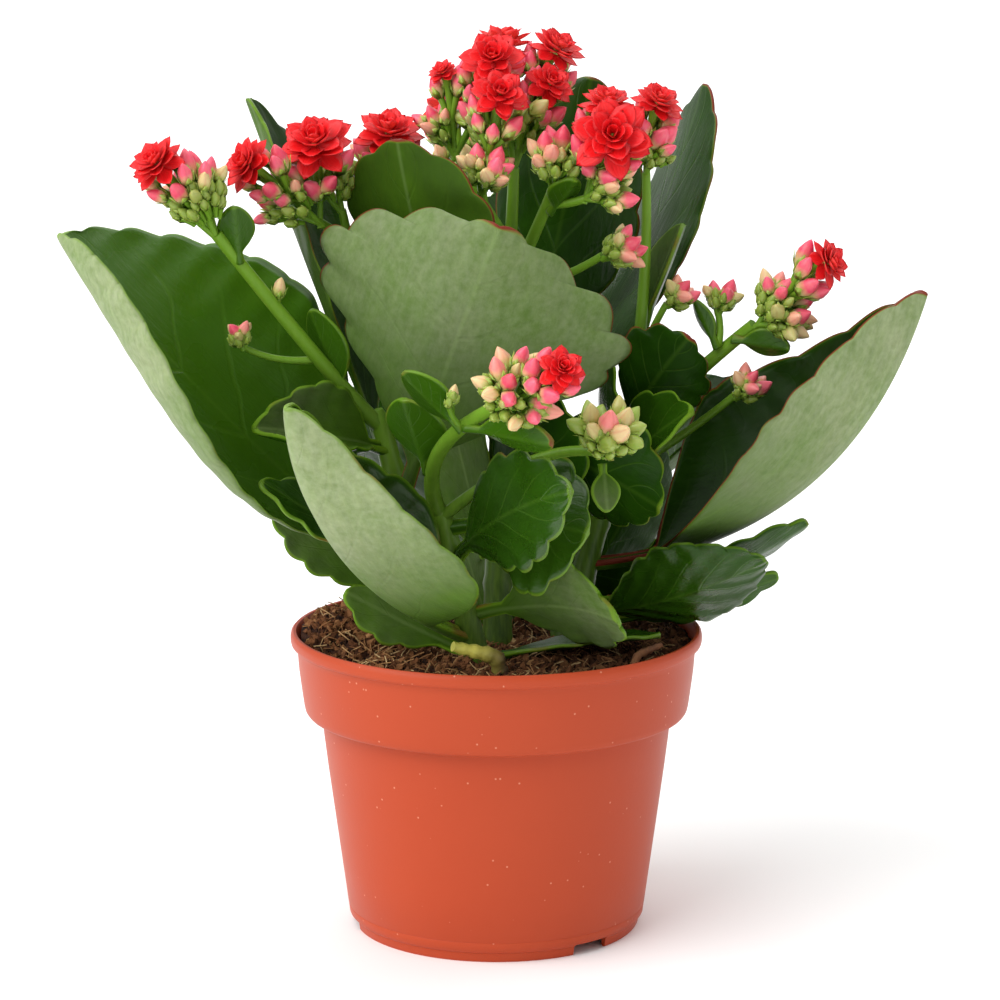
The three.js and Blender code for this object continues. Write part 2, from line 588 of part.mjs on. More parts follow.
function leafSolid(leaf) {
  const even = (n) => [...Array(n + 1).keys()].map((i) => i / n);
  const margin = marginStops(leaf);
  const inner = leaf.width > 30 ? 5 : 3;
  const wide = leaf.width > 45;
  const between = wide ? [[-0.55, even(inner + 1)], [0, even(inner)], [0.55, even(inner + 1)]] : [[0, even(inner)]];
  const columns = [[-1, margin], ...between, [1, margin]];
  const points = [];
  const ids = [1, -1].map((face) => columns.map(([s, stops]) => stops.map((m) => {
    const stalky = 1 - clamp01(m / 0.2);
    const middle = mix(LEAF_THICKNESS.middle, LEAF_THICKNESS.stalk, stalky);
    const edge = mix(LEAF_THICKNESS.margin, LEAF_THICKNESS.stalk * 0.4, stalky);
    const half = mix(middle, edge, Math.abs(s)) / 2;
    points.push(bladePoint(leaf, m, s).addScaledVector(bladeNormal(leaf, m, s), face * half));
    return points.length - 1;
  })));
  const triangles = [];
  const strip = (a, aStops, b, bStops, flip) => {
    let [i, j] = [0, 0];
    while (i + 1 < a.length || j + 1 < b.length) {
      const stepA = j + 1 >= b.length || (i + 1 < a.length && aStops[i + 1] <= bStops[j + 1]);
      const t = stepA ? [a[i], a[i + 1], b[j]] : [a[i], b[j + 1], b[j]];
      triangles.push(flip ? [t[0], t[2], t[1]] : t);
      if (stepA) i += 1;
      else j += 1;
    }
  };
  ids.forEach((face, f) => {
    for (let c = 0; c + 1 < columns.length; c++) {
      strip(face[c], columns[c][1], face[c + 1], columns[c + 1][1], f === 1);
    }
  });
  const [upper, lower] = ids;
  strip(lower[0], margin, upper[0], margin, false);
  strip(upper.at(-1), margin, lower.at(-1), margin, false);
  for (let c = 0; c + 1 < columns.length; c++) {
    const ends = [[0, false], [-1, true]];
    for (const [k, flip] of ends) {
      const quad = [upper[c].at(k), upper[c + 1].at(k), lower[c + 1].at(k), lower[c].at(k)];
      const [p, q, r, s] = flip ? quad.reverse() : quad;
      triangles.push([p, q, r], [p, r, s]);
    }
  }
  return solidFrom(points, triangles);
}

function largeLeaf([name, shoot, height, tip, width, form]) {
  const leaf = { root: shootPoint(shoot, height), tip: vec(tip), width, ...form };
  return { name, kind: "leaf", solid: leafSolid(leaf), shoot };
}

// ---- shoots ----
function shootStem(name, extra = 0) {
  const { foot, top, radius } = SHOOTS[name];
  const path = [0, 0.5, 1].map((t) => vec(foot).lerp(vec(top), t));
  path[0].z -= extra;
  path[2].addScaledVector(path[2].clone().sub(path[0]).normalize(), extra);
  return loft(path, path.map((_, i) => mix(radius[0], radius[1], i / 2) + extra), 8);
}

function makeShoot(name) {
  const leaves = SHOOT_LEAVES.filter((row) => row[0] === name);
  const solids = leaves.map(([, height, tip, width, form]) => {
    return leafSolid({ root: shootPoint(name, height), tip: vec(tip), width, ...form });
  });
  return joined([shootStem(name), ...solids]);
}

// ---- flower heads ----
// One flower bud with its stalk, as one pointed form
function budSolid(from, tip, size, turn) {
  const along = tip.clone().sub(from).normalize();
  const length = size * 3;
  const at = (back) => tip.clone().addScaledVector(along, -back * length);
  return loft([from, at(1), at(0.48), tip], [0.55, 0.8, size, 0], BUD_SIDES, turn);
}

// A cluster parts into branches, each with a few buds, spread evenly about its axis; no bud stands
// where a bloom is
function clusterBuds({ fork, crown, spread, buds, size }, blooms, seed) {
  const start = vec(fork);
  const axis = vec(crown).sub(start);
  const reach = axis.length();
  axis.normalize();
  const across = new THREE.Vector3(0.3, 0.2, 0.93).cross(axis).normalize();
  const other = axis.clone().cross(across);
  const aim = (polar, around) => axis.clone().multiplyScalar(Math.cos(polar))
    .addScaledVector(across, Math.sin(polar) * Math.cos(around))
    .addScaledVector(other, Math.sin(polar) * Math.sin(around));
  const branches = Math.max(1, Math.round(buds / BUDS_PER_BRANCH));
  const nodes = [...Array(branches).keys()].map((k) => {
    const polar = branches > 1 ? rad(spread * 0.72) * Math.sqrt((k + 0.5) / branches) : 0;
    return start.clone().addScaledVector(aim(polar, k * GOLDEN_ANGLE + seed), reach * 0.42);
  });
  const solids = [];
  const used = new Set();
  for (let i = 0; i < buds; i++) {
    const fan = Math.sqrt((i + 0.5) / buds);
    const polar = rad(spread * fan * (0.94 + 0.12 * draw(i, seed)));
    const length = reach * (1.04 - 0.16 * fan ** 2 - 0.12 * draw(i, seed + 1));
    const tip = start.clone().addScaledVector(aim(polar, i * GOLDEN_ANGLE + seed), length);
    const girth = size * (1.15 - 0.3 * fan) * (0.85 + 0.3 * draw(i, seed + 2));
    const node = nodes.reduce((a, b) => (b.distanceTo(tip) < a.distanceTo(tip) ? b : a));
    const blocked = blooms.some(([centre, radius]) => {
      const nearest = new THREE.Vector3();
      new THREE.Line3(node, tip).closestPointToPoint(vec(centre), true, nearest);
      return nearest.distanceTo(vec(centre)) < radius * 0.92 + girth;
    });
    if (blocked) continue;
    used.add(node);
    solids.push(budSolid(node, tip, girth, seed + i));
  }
  used.forEach((node) => {
    const beyond = node.clone().sub(start).normalize();
    solids.push(loft([start, node.clone().addScaledVector(beyond, 0.5)], [0.9, 0.8], 4));
  });
  return solids;
}

// The nearest fork to a bloom carries it
function bloomFork(head, centre) {
  const forks = head.clusters.map((cluster) => vec(cluster.fork));
  return forks.reduce((a, b) => (b.distanceTo(centre) < a.distanceTo(centre) ? b : a));
}

function bloomAxis(head, centre) {
  return centre.clone().sub(bloomFork(head, centre)).normalize();
}

function bloomStalk(head, [centre, radius]) {
  const middle = vec(centre);
  const axis = bloomAxis(head, middle);
  const end = middle.addScaledVector(axis, -radius * 0.28 - SEAT);
  const start = bloomFork(head, end).addScaledVector(axis, -1.5);
  const neck = end.clone().addScaledVector(axis, -radius * 0.4);
  return loft([start, neck, end], [0.7, 0.8, 1.5], 5);
}

function bractLeaf({ from, tip, width, roll, fold }) {
  return leafSolid({
    root: vec(from), tip: vec(tip), width, roll, fold, peak: 0.5, stalk: 1.2,
  });
}

function makeHead(head, seed) {
  const stems = head.stems.map((stem) => bent(stem));
  const buds = head.clusters.flatMap((cluster, i) => clusterBuds(cluster, head.blooms, seed * 10 + i));
  const stalks = head.blooms.map((bloom) => bloomStalk(head, bloom));
  return joined([...stems, ...buds, ...stalks, ...head.bracts.map(bractLeaf)]);
}

// ---- blooms ----
const PETAL_LAYERS = [ // petals, lift above flat, length as a part of the bloom's radius, outline
  [6, 10, 1.0, [[-0.5, 0.26], [-0.4, 0.66], [0, 1], [0.4, 0.66]]],
  [6, 38, 0.86, [[-0.5, 0.4], [0, 1]]],
  [4, 62, 0.66, [[-0.5, 0.45], [0, 1]]],
]; // an outline goes from notch to notch: turn as a part of the petal's sector, and reach

// A whorl of pointed petals that are joined at their feet, cupped upward
function whorlSolid(centre, axis, across, [count, lift, length, outline], radius, turn) {
  const points = [];
  const rim = [];
  for (let i = 0; i < count; i++) {
    for (const [sector, reach] of outline) {
      const out = across.clone().applyAxisAngle(axis, turn + (2 * Math.PI * (i + sector)) / count);
      const l = reach * length * radius;
      const rise = rad(lift) * (0.6 + 0.4 * reach);
      rim.push([out.multiplyScalar(l * Math.cos(rise)), l * Math.sin(rise)]);
    }
  }
  const n = rim.length;
  const per = outline.length;
  const triangles = [];
  [0.45, -0.45].forEach((half, face) => {
    const add = (t) => triangles.push((face ? [t[0], t[2], t[1]] : t).map((i) => face * n + (i % n)));
    rim.forEach(([out, rise]) => {
      points.push(centre.clone().add(out).addScaledVector(axis, rise + half));
    });
    for (let i = 0; i < count; i++) {
      const notch = i * per;
      for (let j = 1; j < per; j++) add([notch, notch + j, notch + j + 1]);
      if (i > 1) add([0, notch - per, notch]);
    }
  });
  for (let i = 0; i < n; i++) {
    const j = (i + 1) % n;
    triangles.push([j, i, n + i], [j, n + i, n + j]);
  }
  return solidFrom(points, triangles);
}

function makeBloom(head, [centreAt, radius], seed) {
  const centre = vec(centreAt);
  const axis = bloomAxis(head, centre);
  const across = new THREE.Vector3(0.2, 0.9, 0.35).cross(axis).normalize();
  const base = centre.clone().addScaledVector(axis, -radius * 0.28);
  const top = centre.clone().addScaledVector(axis, radius * 0.54);
  const solids = [loft([base, top], [1.3, 0.8], 4)];
  PETAL_LAYERS.forEach((layer, i) => {
    const low = centre.clone().addScaledVector(axis, radius * 0.2 * (i - 0.7));
    solids.push(whorlSolid(low, axis, across, layer, radius, seed + 0.5 * i + draw(i, seed)));
  });
  return joined(solids);
}

// ---- assembly ----
const group = new THREE.Group();

function addPiece(name, kind, solid) {
  const material = new THREE.MeshStandardMaterial(MATERIALS[kind]);
  const mesh = new THREE.Mesh(geometryFrom(solid), material);
  mesh.name = name;
  group.add(mesh);
}

const shootSeats = Object.fromEntries(Object.keys(SHOOTS).map((name) => [name, shootStem(name, SEAT)]));

addPiece("pot", "pot", makePot());
const bitSeats = LOOSE_BITS.map((bit) => looseBit(bit, SEAT));
addPiece("soil", "soil", makeSoil([...Object.values(shootSeats), ...bitSeats]));
LOOSE_BITS.forEach((bit) => addPiece(bit.name, bit.kind, looseBit(bit)));
Object.keys(SHOOTS).forEach((name) => addPiece(`shoot_${name}`, "shoot", makeShoot(name)));
LEAVES.map(largeLeaf).forEach(({ name, kind, solid, shoot }) => {
  addPiece(name, kind, largest(solid.subtract(shootSeats[shoot])));
});
HEADS.forEach((head, h) => {
  addPiece(head.name, "head", largest(makeHead(head, h + 1).subtract(shootSeats[head.shoot])));
  head.blooms.forEach((bloom, i) => {
    const name = `${head.name.replace("head", "bloom")}_${i + 1}`;
    addPiece(name, "bloom", makeBloom(head, bloom, h * 7 + i));
  });
});

export default group;
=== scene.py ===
import math

import bmesh
import bpy
import numpy as np
from mathutils import Matrix, Vector


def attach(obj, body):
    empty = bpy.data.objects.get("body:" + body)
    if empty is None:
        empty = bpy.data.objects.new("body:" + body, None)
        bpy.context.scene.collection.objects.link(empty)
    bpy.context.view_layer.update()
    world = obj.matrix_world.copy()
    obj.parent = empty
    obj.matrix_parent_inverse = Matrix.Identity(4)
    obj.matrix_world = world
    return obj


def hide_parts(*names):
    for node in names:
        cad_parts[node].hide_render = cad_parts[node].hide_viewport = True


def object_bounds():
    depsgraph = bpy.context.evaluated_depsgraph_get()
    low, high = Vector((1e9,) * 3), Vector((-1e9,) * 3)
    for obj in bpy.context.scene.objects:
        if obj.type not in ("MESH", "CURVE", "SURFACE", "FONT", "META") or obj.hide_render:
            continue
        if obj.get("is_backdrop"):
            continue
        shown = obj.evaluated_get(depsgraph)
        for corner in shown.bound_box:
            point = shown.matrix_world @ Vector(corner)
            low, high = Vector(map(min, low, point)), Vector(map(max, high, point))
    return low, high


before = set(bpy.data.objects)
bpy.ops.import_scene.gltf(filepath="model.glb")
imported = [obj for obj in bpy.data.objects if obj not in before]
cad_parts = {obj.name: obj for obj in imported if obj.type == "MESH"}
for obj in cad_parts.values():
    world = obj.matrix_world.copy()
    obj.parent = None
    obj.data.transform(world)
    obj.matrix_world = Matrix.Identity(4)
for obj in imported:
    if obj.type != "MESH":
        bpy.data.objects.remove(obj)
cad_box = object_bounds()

# ==== Nursery pot ====
# A thin tapered grower's pot, injection moulded in terracotta-coloured polypropylene. It has a deep
# collar with a rolled lip, a foot ring with three drain notches, and drain holes in a raised floor.

POT_PROFILE = [  # radius and height in mm, up the outside, over the lip and down the inside
    (42.0, 0.5), (42.3, 2.6), (42.9, 3.1), (43.4, 3.6), (43.7, 5.8), (43.6, 6.1), (43.8, 6.4), (45.7, 20.5),
    (47.8, 36.0), (49.4, 48.0), (50.5, 57.0), (50.9, 60.8), (50.9, 62.4), (51.2, 63.4), (52.2, 63.8),
    (54.6, 63.9), (55.4, 64.2), (55.9, 64.9), (56.2, 66.2), (56.5, 68.4), (57.0, 72.0), (57.6, 76.8),
    (58.0, 82.0), (58.1, 83.3), (58.5, 84.0), (59.3, 84.2), (59.8, 84.6), (60.0, 85.4), (60.0, 86.5),
    (59.8, 87.5), (59.2, 88.1), (58.4, 88.0), (57.9, 87.2), (57.4, 85.0), (56.6, 81.8), (55.0, 68.6),
    (49.6, 60.6), (42.0, 5.6), (41.2, 5.0), (0.0, 5.0), (0.0, 3.6), (40.0, 3.6), (40.6, 3.3), (40.6, 0.5),
    (40.9, 0.0), (41.7, 0.0),
]
POT_SEGMENTS = 180
NOTCH_ANGLES = (310, 70, 190)
NOTCH_WIDTH = 12.0
NOTCH_RADII = (37.5, 46.5)  # where a notch starts and ends
NOTCH_HEIGHTS = (-3, 3.4)
DRAIN_ANGLES = (45, 135, 225, 315)
DRAIN_DISTANCE = 24  # from the pot's axis
DRAIN_RADIUS = 3.5
DRAIN_SIDES = 24
DRAIN_HEIGHTS = (1, 8)
SHARP_ANGLE = 38  # degrees; edges that turn more stay crisp


def srgb(red, green, blue):
    """A colour given as 0-255 screen values, as the linear colour that shaders want."""
    linear = [((c / 255 + 0.055) / 1.055) ** 2.4 if c > 10 else c / 255 / 12.92 for c in (red, green, blue)]
    return (*linear, 1.0)


def feed(node, inputs):
    """Give each input of a node its value, or a link from another node's output."""
    for key, value in inputs.items():
        if isinstance(value, bpy.types.NodeSocket):
            node.id_data.links.new(value, node.inputs[key])
        else:
            node.inputs[key].default_value = value


def put(tree, kind, inputs=None, output=0, **settings):
    """One output of a new node in tree, which gets its settings first and then its inputs."""
    node = tree.nodes.new(kind)
    for key, value in settings.items():
        setattr(node, key, value)
    feed(node, inputs or {})
    return node.outputs[output]


def tree_of(*values):
    """The tree that the first socket among the values belongs to."""
    return next(value.id_data for value in values if isinstance(value, bpy.types.NodeSocket))


def maths(operation, *values, clamp=False):
    """The output of a Math node on values, of which at least one is a socket."""
    inputs = dict(enumerate(values))
    return put(tree_of(*values), "ShaderNodeMath", inputs, operation=operation, use_clamp=clamp)


def ramp(value, low, high, first=0.0, last=1.0):
    """The value carried from low..high to first..last, and held there beyond."""
    return put(tree_of(value), "ShaderNodeMapRange", {"Value": value, 1: low, 2: high, 3: first, 4: last})


def noise(vector, scale, detail):
    """Soft noise from 0 to 1."""
    inputs = {"Vector": vector, "Scale": scale, "Detail": detail}
    return put(tree_of(vector), "ShaderNodeTexNoise", inputs, "Fac")


def bump(strength, distance, height):
    """A normal tilted by a height; distance is in metres."""
    inputs = {"Strength": strength, "Distance": distance, "Height": height}
    return put(tree_of(height), "ShaderNodeBump", inputs)


def blend_colour(mask, first, second):
    """A mix of two colours, by a mask from 0 to 1."""
    inputs = {0: mask, 6: first, 7: second}
    return put(tree_of(mask, first, second), "ShaderNodeMix", inputs, 2, data_type="RGBA")


def group_tree(name, kind, inputs, outputs):
    """A node group with its named sockets, as (tree, input sockets by name, output node)."""
    tree = bpy.data.node_groups.new(name, kind)
    for in_out, sockets in (("INPUT", inputs), ("OUTPUT", outputs)):
        for socket, socket_type in sockets.items():
            tree.interface.new_socket(socket, in_out=in_out, socket_type="NodeSocket" + socket_type)
    return tree, tree.nodes.new("NodeGroupInput").outputs, tree.nodes.new("NodeGroupOutput")


def new_material(name):
    """An empty material, as (material, its tree, its Principled BSDF, the place on the object)."""
    material = bpy.data.materials.new(name)
    material.use_nodes = True
    tree = material.node_tree
    place = put(tree, "ShaderNodeTexCoord", output="Object")
    return material, tree, tree.nodes["Principled BSDF"], place


def add_object(name, data):
    """An object in the scene that shows the data."""
    made = bpy.data.objects.new(name, data)
    bpy.context.collection.objects.link(made)
    return made


def mesh_piece(name, points_mm, faces, material, smooth=True):
    """A mesh object at the origin, with its place in its mesh."""
    mesh = bpy.data.meshes.new(name)
    mesh.from_pydata((np.asarray(points_mm) / 1000).tolist(), [], faces)
    mesh.materials.append(material)
    mesh.polygons.foreach_set("use_smooth", [smooth] * len(mesh.polygons))
    return add_object(name, mesh)


def evaluated_mesh(piece, name):
    """The piece with its modifiers made real, as a new plain object; the first one is removed."""
    shown = piece.evaluated_get(bpy.context.evaluated_depsgraph_get())
    mesh = bpy.data.meshes.new_from_object(shown)
    bpy.data.objects.remove(piece)
    mesh.name = name
    return add_object(name, mesh)


def hand_over(piece, slot, *nodes):
    """The finished piece rides on the one body and stands for its CAD nodes."""
    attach(piece, "root")
    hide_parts(*nodes)


# Soft patches of tone, as moulded plastic, leaves, stems and buds all have
MOTTLE, mottle_in, mottle_out = group_tree(
    "mottle", "ShaderNodeTree",
    {"Vector": "Vector", "Colour": "Color", "Other": "Color", "Scale": "Float", "Detail": "Float",
     "Contrast": "Float"},
    {"Colour": "Color", "Mask": "Float"},
)
mottle_noise = put(MOTTLE, "ShaderNodeTexNoise", {
    "Vector": mottle_in["Vector"], "Scale": mottle_in["Scale"], "Detail": mottle_in["Detail"],
    "Roughness": 0.6,
}, "Fac")
mottle_centred = maths("SUBTRACT", mottle_noise, 0.5)
mottle_mask = maths("MULTIPLY_ADD", mottle_centred, mottle_in["Contrast"], 0.5, clamp=True)
mottle_mix = blend_colour(mottle_mask, mottle_in["Colour"], mottle_in["Other"])
feed(mottle_out, {"Colour": mottle_mix, "Mask": mottle_mask})


def mottled(vector, colour, other, scale, detail=3.0, contrast=2.0):
    """The mottle group with its own values, as (colour, mask)."""
    values = {"Vector": vector, "Colour": colour, "Other": other, "Scale": scale, "Detail": detail,
              "Contrast": contrast}
    outputs = put(tree_of(vector), "ShaderNodeGroup", values, node_tree=MOTTLE).node.outputs
    return outputs["Colour"], outputs["Mask"]


# Satin plastic: an even terracotta with cloudy tone, pale mineral specks and a faint pebbled skin
pot_plastic, tree, shader, place = new_material("pot_plastic")
plastic, cloud = mottled(place, srgb(174, 65, 33), srgb(181, 71, 38), 22.0, 3.0, 1.0)
cells = put(tree, "ShaderNodeTexVoronoi", {"Vector": place, "Scale": 300.0, "Randomness": 1.0}, "Distance")
some_cells = maths("GREATER_THAN", noise(place, 120.0, 1.0), 0.49)
specks = maths("MULTIPLY", ramp(cells, 0.05, 0.11, 1.0, 0.0), some_cells)
feed(shader, {
    "Base Color": blend_colour(maths("MULTIPLY", specks, 0.5), plastic, srgb(232, 170, 140)),
    "Roughness": ramp(cloud, 0.0, 1.0, 0.36, 0.5),
    "Specular IOR Level": 0.22,
    "Normal": bump(0.06, 0.0004, noise(place, 900.0, 2.0)),
})


def circle(count):
    """Evenly spaced directions around the axis, as (cosine, sine)."""
    return [(math.cos(a), math.sin(a)) for a in np.linspace(0, 2 * math.pi, count, endpoint=False)]


rings = len(POT_PROFILE)
pot_points = [(r * c, r * s, z) for c, s in circle(POT_SEGMENTS) for r, z in POT_PROFILE]
pot_faces = []
for i in range(POT_SEGMENTS):
    near, far = i * rings, (i + 1) % POT_SEGMENTS * rings
    for j in range(rings):
        k = (j + 1) % rings
        pot_faces.append((near + j, far + j, far + k, near + k))
pot = mesh_piece("pot_wall", pot_points, pot_faces, pot_plastic)
pot.modifiers.new("weld", "WELD").merge_threshold = 0.00001
pot = evaluated_mesh(pot, "pot_wall")

# Upright prisms that are cut away: outlines, given anticlockwise, with their low and high ends
prisms = []
for angle in map(math.radians, NOTCH_ANGLES):
    out, across = np.array([math.cos(angle), math.sin(angle)]), np.array([-math.sin(angle), math.cos(angle)])
    first, last = NOTCH_RADII
    corners = [(first, -0.5), (last, -0.5), (last, 0.5), (first, 0.5)]
    prisms.append(([out * r + across * w * NOTCH_WIDTH for r, w in corners], NOTCH_HEIGHTS))
for angle in map(math.radians, DRAIN_ANGLES):
    x, y = DRAIN_DISTANCE * math.cos(angle), DRAIN_DISTANCE * math.sin(angle)
    rim = [(x + DRAIN_RADIUS * c, y + DRAIN_RADIUS * s) for c, s in circle(DRAIN_SIDES)]
    prisms.append((rim, DRAIN_HEIGHTS))
cut_points, cut_faces = [], []
for outline, heights in prisms:
    low, high = len(cut_points), len(cut_points) + len(outline)
    cut_points += [(x, y, z) for z in heights for x, y in outline]
    cut_faces += [tuple(range(high - 1, low - 1, -1)), tuple(range(high, len(cut_points)))]
    for i in range(len(outline)):
        k = (i + 1) % len(outline)
        cut_faces.append((low + i, low + k, high + k, high + i))
holes = mesh_piece("pot_holes", cut_points, cut_faces, pot_plastic, smooth=False)
cut = pot.modifiers.new("cut", "BOOLEAN")
cut.object = holes
cut.operation = "DIFFERENCE"
cut.solver = "EXACT"
pot = evaluated_mesh(pot, "pot_wall")
bpy.data.objects.remove(holes)
pot.data.set_sharp_from_angle(angle=math.radians(SHARP_ANGLE))
hand_over(pot, "pot", "pot")

# ==== Soil ====
# Peat-based potting mix, dark and fibrous, heaped up at the left. It fills the pot to just under the
# lip. Crumbs of peat, bits of bark and loose coir fibres lie all over it.

SOIL_TOP = 84.0
SOIL_RADIUS = 57.0
SOIL_RINGS = 46
SOIL_SEGMENTS = 150
MOUND_X = -41
MOUND_Y = 4
MOUND_HEIGHT = 9
MOUND_SPREAD = 280  # in square mm
SOIL_WALL = ((55.0, 70.0), (49.3, 61.0), (41.9, 5.3))  # radius and height, down the inside of the pot
LITTER_KINDS = {  # sizes in metres, tilt in radians
    "soil_crumbs": dict(Reach=0.0552, Spacing=0.0009, Density=560000.0, Smallest=0.0003, Largest=0.0009,
                        Slenderness=2.7, Tilt=1.5, Lightest=0.68, Seed=3),
    "soil_bark": dict(Reach=0.0535, Spacing=0.003, Density=34000.0, Smallest=0.0005, Largest=0.0013,
                      Slenderness=2.8, Tilt=1.0, Lightest=0.95, Seed=8),
    "soil_fibres": dict(Reach=0.0525, Spacing=0.001, Density=340000.0, Smallest=0.0001, Largest=0.00028,
                        Slenderness=15.0, Tilt=1.1, Lightest=1.0, Curled=True, Seed=5),
}


def soil_height(x, y):
    """Height of the soil's surface in mm: a mound, hollows and small lumps."""
    mound = MOUND_HEIGHT * np.exp(-((x - MOUND_X) ** 2 + (y - MOUND_Y) ** 2) / MOUND_SPREAD)
    hollows = 0.7 * np.sin(0.31 * x + 1.3) * np.sin(0.27 * y + 0.4)
    lumps = 0.5 * np.sin(0.9 * x + 0.7 * y) + 0.5 * np.sin(1.7 * x - 1.1 * y) * np.sin(1.3 * y + 0.4 * x)
    return SOIL_TOP + mound + hollows + lumps


peat, tree, shader, place = new_material("peat")
dark_peat, _ = mottled(place, srgb(18, 10, 7), srgb(70, 39, 25), 420.0, 5.0, 4.0)
tint = put(tree, "ShaderNodeAttribute", output="Fac", attribute_name="tint")
crumb_shade = put(tree, "ShaderNodeValToRGB", {"Fac": tint})
shades = crumb_shade.node.color_ramp.elements
shades[0].color = srgb(32, 17, 10)
shades[1].color = srgb(222, 190, 138)
for stop, shade in ((0.3, srgb(58, 33, 20)), (0.6, srgb(126, 80, 48)), (0.85, srgb(190, 142, 92))):
    shades.new(stop).color = shade
is_crumb = maths("GREATER_THAN", tint, 0.001)
crumbly = blend_colour(0.85, dark_peat, crumb_shade)
earthy = blend_colour(is_crumb, dark_peat, crumbly)
sideways = put(tree, "ShaderNodeSeparateXYZ", {0: place}, "X")
# Painted shade: the soil is darker towards +X, where the leaves shade it
painted_shade_right = ramp(sideways, -0.03, 0.03, 0.0, 0.55)
feed(shader, {
    "Base Color": blend_colour(painted_shade_right, earthy, srgb(26, 15, 10)),
    "Roughness": 0.95,
    "Specular IOR Level": 0.2,
    "Normal": bump(0.8, 0.0006, noise(place, 1500.0, 4.0)),
})

soil_points = [(0, 0, soil_height(0, 0))]
for ring in range(1, SOIL_RINGS + 1):
    r = SOIL_RADIUS * ring / SOIL_RINGS
    soil_points += [(r * c, r * s, soil_height(r * c, r * s)) for c, s in circle(SOIL_SEGMENTS)]
for r, z in SOIL_WALL:
    soil_points += [(r * c, r * s, z) for c, s in circle(SOIL_SEGMENTS)]
soil_points.append((0, 0, SOIL_WALL[-1][1]))
soil_faces = []
for j in range(SOIL_SEGMENTS):
    k = (j + 1) % SOIL_SEGMENTS
    soil_faces.append((0, 1 + j, 1 + k))
    for near in range(1, 1 + (SOIL_RINGS + 2) * SOIL_SEGMENTS, SOIL_SEGMENTS):
        far = near + SOIL_SEGMENTS
        soil_faces.append((near + j, far + j, far + k, near + k))
    soil_faces.append((far + j, len(soil_points) - 1, far + k))
soil = mesh_piece("soil_bed", soil_points, soil_faces, peat)


def end_tree(tree, geometry, material, end, smooth=True):
    """The last nodes of a Geometry Nodes tree: instances made real, shading, and the material."""
    real = put(tree, "GeometryNodeRealizeInstances", {"Geometry": geometry})
    if smooth:
        real = put(tree, "GeometryNodeSetShadeSmooth", {"Geometry": real})
    feed(end, {0: put(tree, "GeometryNodeSetMaterial", {"Geometry": real, "Material": material})})


# Loose pieces on the soil: where they lie, how big they are and how they are turned is random
LITTER, litter_in, litter_out = group_tree(
    "soil_litter", "GeometryNodeTree",
    {"Soil": "Geometry", "Curled": "Bool", "Seed": "Int", "Material": "Material", **dict.fromkeys(
        ("Reach", "Spacing", "Density", "Smallest", "Largest", "Slenderness", "Tilt", "Lightest"), "Float")},
    {"Litter": "Geometry"},
)
facing_up = put(LITTER, "ShaderNodeSeparateXYZ", {0: put(LITTER, "GeometryNodeInputNormal")}, "Z")
on_top = put(LITTER, "FunctionNodeCompare", {0: facing_up, 1: 0.35}, operation="GREATER_THAN")
soil_place = put(LITTER, "GeometryNodeInputPosition")
flattened = put(LITTER, "ShaderNodeVectorMath", {0: soil_place, 1: (1.0, 1.0, 0.0)}, operation="MULTIPLY")
from_axis = put(LITTER, "ShaderNodeVectorMath", {0: flattened}, "Value", operation="LENGTH")
inside = put(LITTER, "FunctionNodeCompare", {0: from_axis, 1: litter_in["Reach"]}, operation="LESS_THAN")
clear_of_wall = put(LITTER, "FunctionNodeBooleanMath", {0: on_top, 1: inside}, operation="AND")
scattered = put(LITTER, "GeometryNodeDistributePointsOnFaces", {
    "Mesh": litter_in["Soil"], "Selection": clear_of_wall, "Distance Min": litter_in["Spacing"],
    "Density Max": litter_in["Density"], "Seed": litter_in["Seed"],
}, "Points", distribute_method="POISSON")
strand = put(LITTER, "GeometryNodeCurveQuadraticBezier", {
    "Resolution": 4, "Start": (-1.0, 0.0, 0.0), "Middle": (0.35, 1.3, 0.2), "End": (1.0, -0.3, 0.0),
})
strand_round = put(LITTER, "GeometryNodeCurvePrimitiveCircle", {"Resolution": 3, "Radius": 0.05})
curl = put(LITTER, "GeometryNodeCurveToMesh",
           {"Curve": strand, "Profile Curve": strand_round, "Fill Caps": True})
clod = put(LITTER, "GeometryNodeMeshIcoSphere", {"Radius": 1.0, "Subdivisions": 1}, "Mesh")
rugged = put(LITTER, "ShaderNodeTexNoise", {"Scale": 1.7, "Detail": 1.0}, "Color")
off_centre = put(LITTER, "ShaderNodeVectorMath", {0: rugged, 1: (0.5, 0.5, 0.5)}, operation="SUBTRACT")
lumpy = put(LITTER, "ShaderNodeVectorMath", {0: off_centre, "Scale": 2.2}, operation="SCALE")
clod_shape = put(LITTER, "GeometryNodeSetPosition", {"Geometry": clod, "Offset": lumpy})


def random_value(low, high, seed):
    """A number for each point of the litter, between two values."""
    return put(LITTER, "FunctionNodeRandomValue", {2: low, 3: high, "Seed": seed}, 1)


size = random_value(litter_in["Smallest"], litter_in["Largest"], litter_in["Seed"])
long_side = maths("MULTIPLY", size, litter_in["Slenderness"])
chunk_size = put(LITTER, "ShaderNodeCombineXYZ", {0: long_side, 1: size, 2: size})
extent = put(LITTER, "GeometryNodeSwitch", {0: litter_in["Curled"], 1: chunk_size, 2: long_side},
             input_type="VECTOR")
shape = put(LITTER, "GeometryNodeSwitch", {0: litter_in["Curled"], 1: clod_shape, 2: curl},
            input_type="GEOMETRY")
heading = random_value(0.0, 2 * math.pi, maths("ADD", litter_in["Seed"], 17.0))
lean_down = maths("MULTIPLY", litter_in["Tilt"], -1.0)
lean = random_value(lean_down, litter_in["Tilt"], maths("ADD", litter_in["Seed"], 41.0))
turned = put(LITTER, "ShaderNodeCombineXYZ", {1: lean, 2: heading})
laid = put(LITTER, "GeometryNodeInstanceOnPoints",
           {"Points": scattered, "Instance": shape, "Rotation": turned, "Scale": extent})
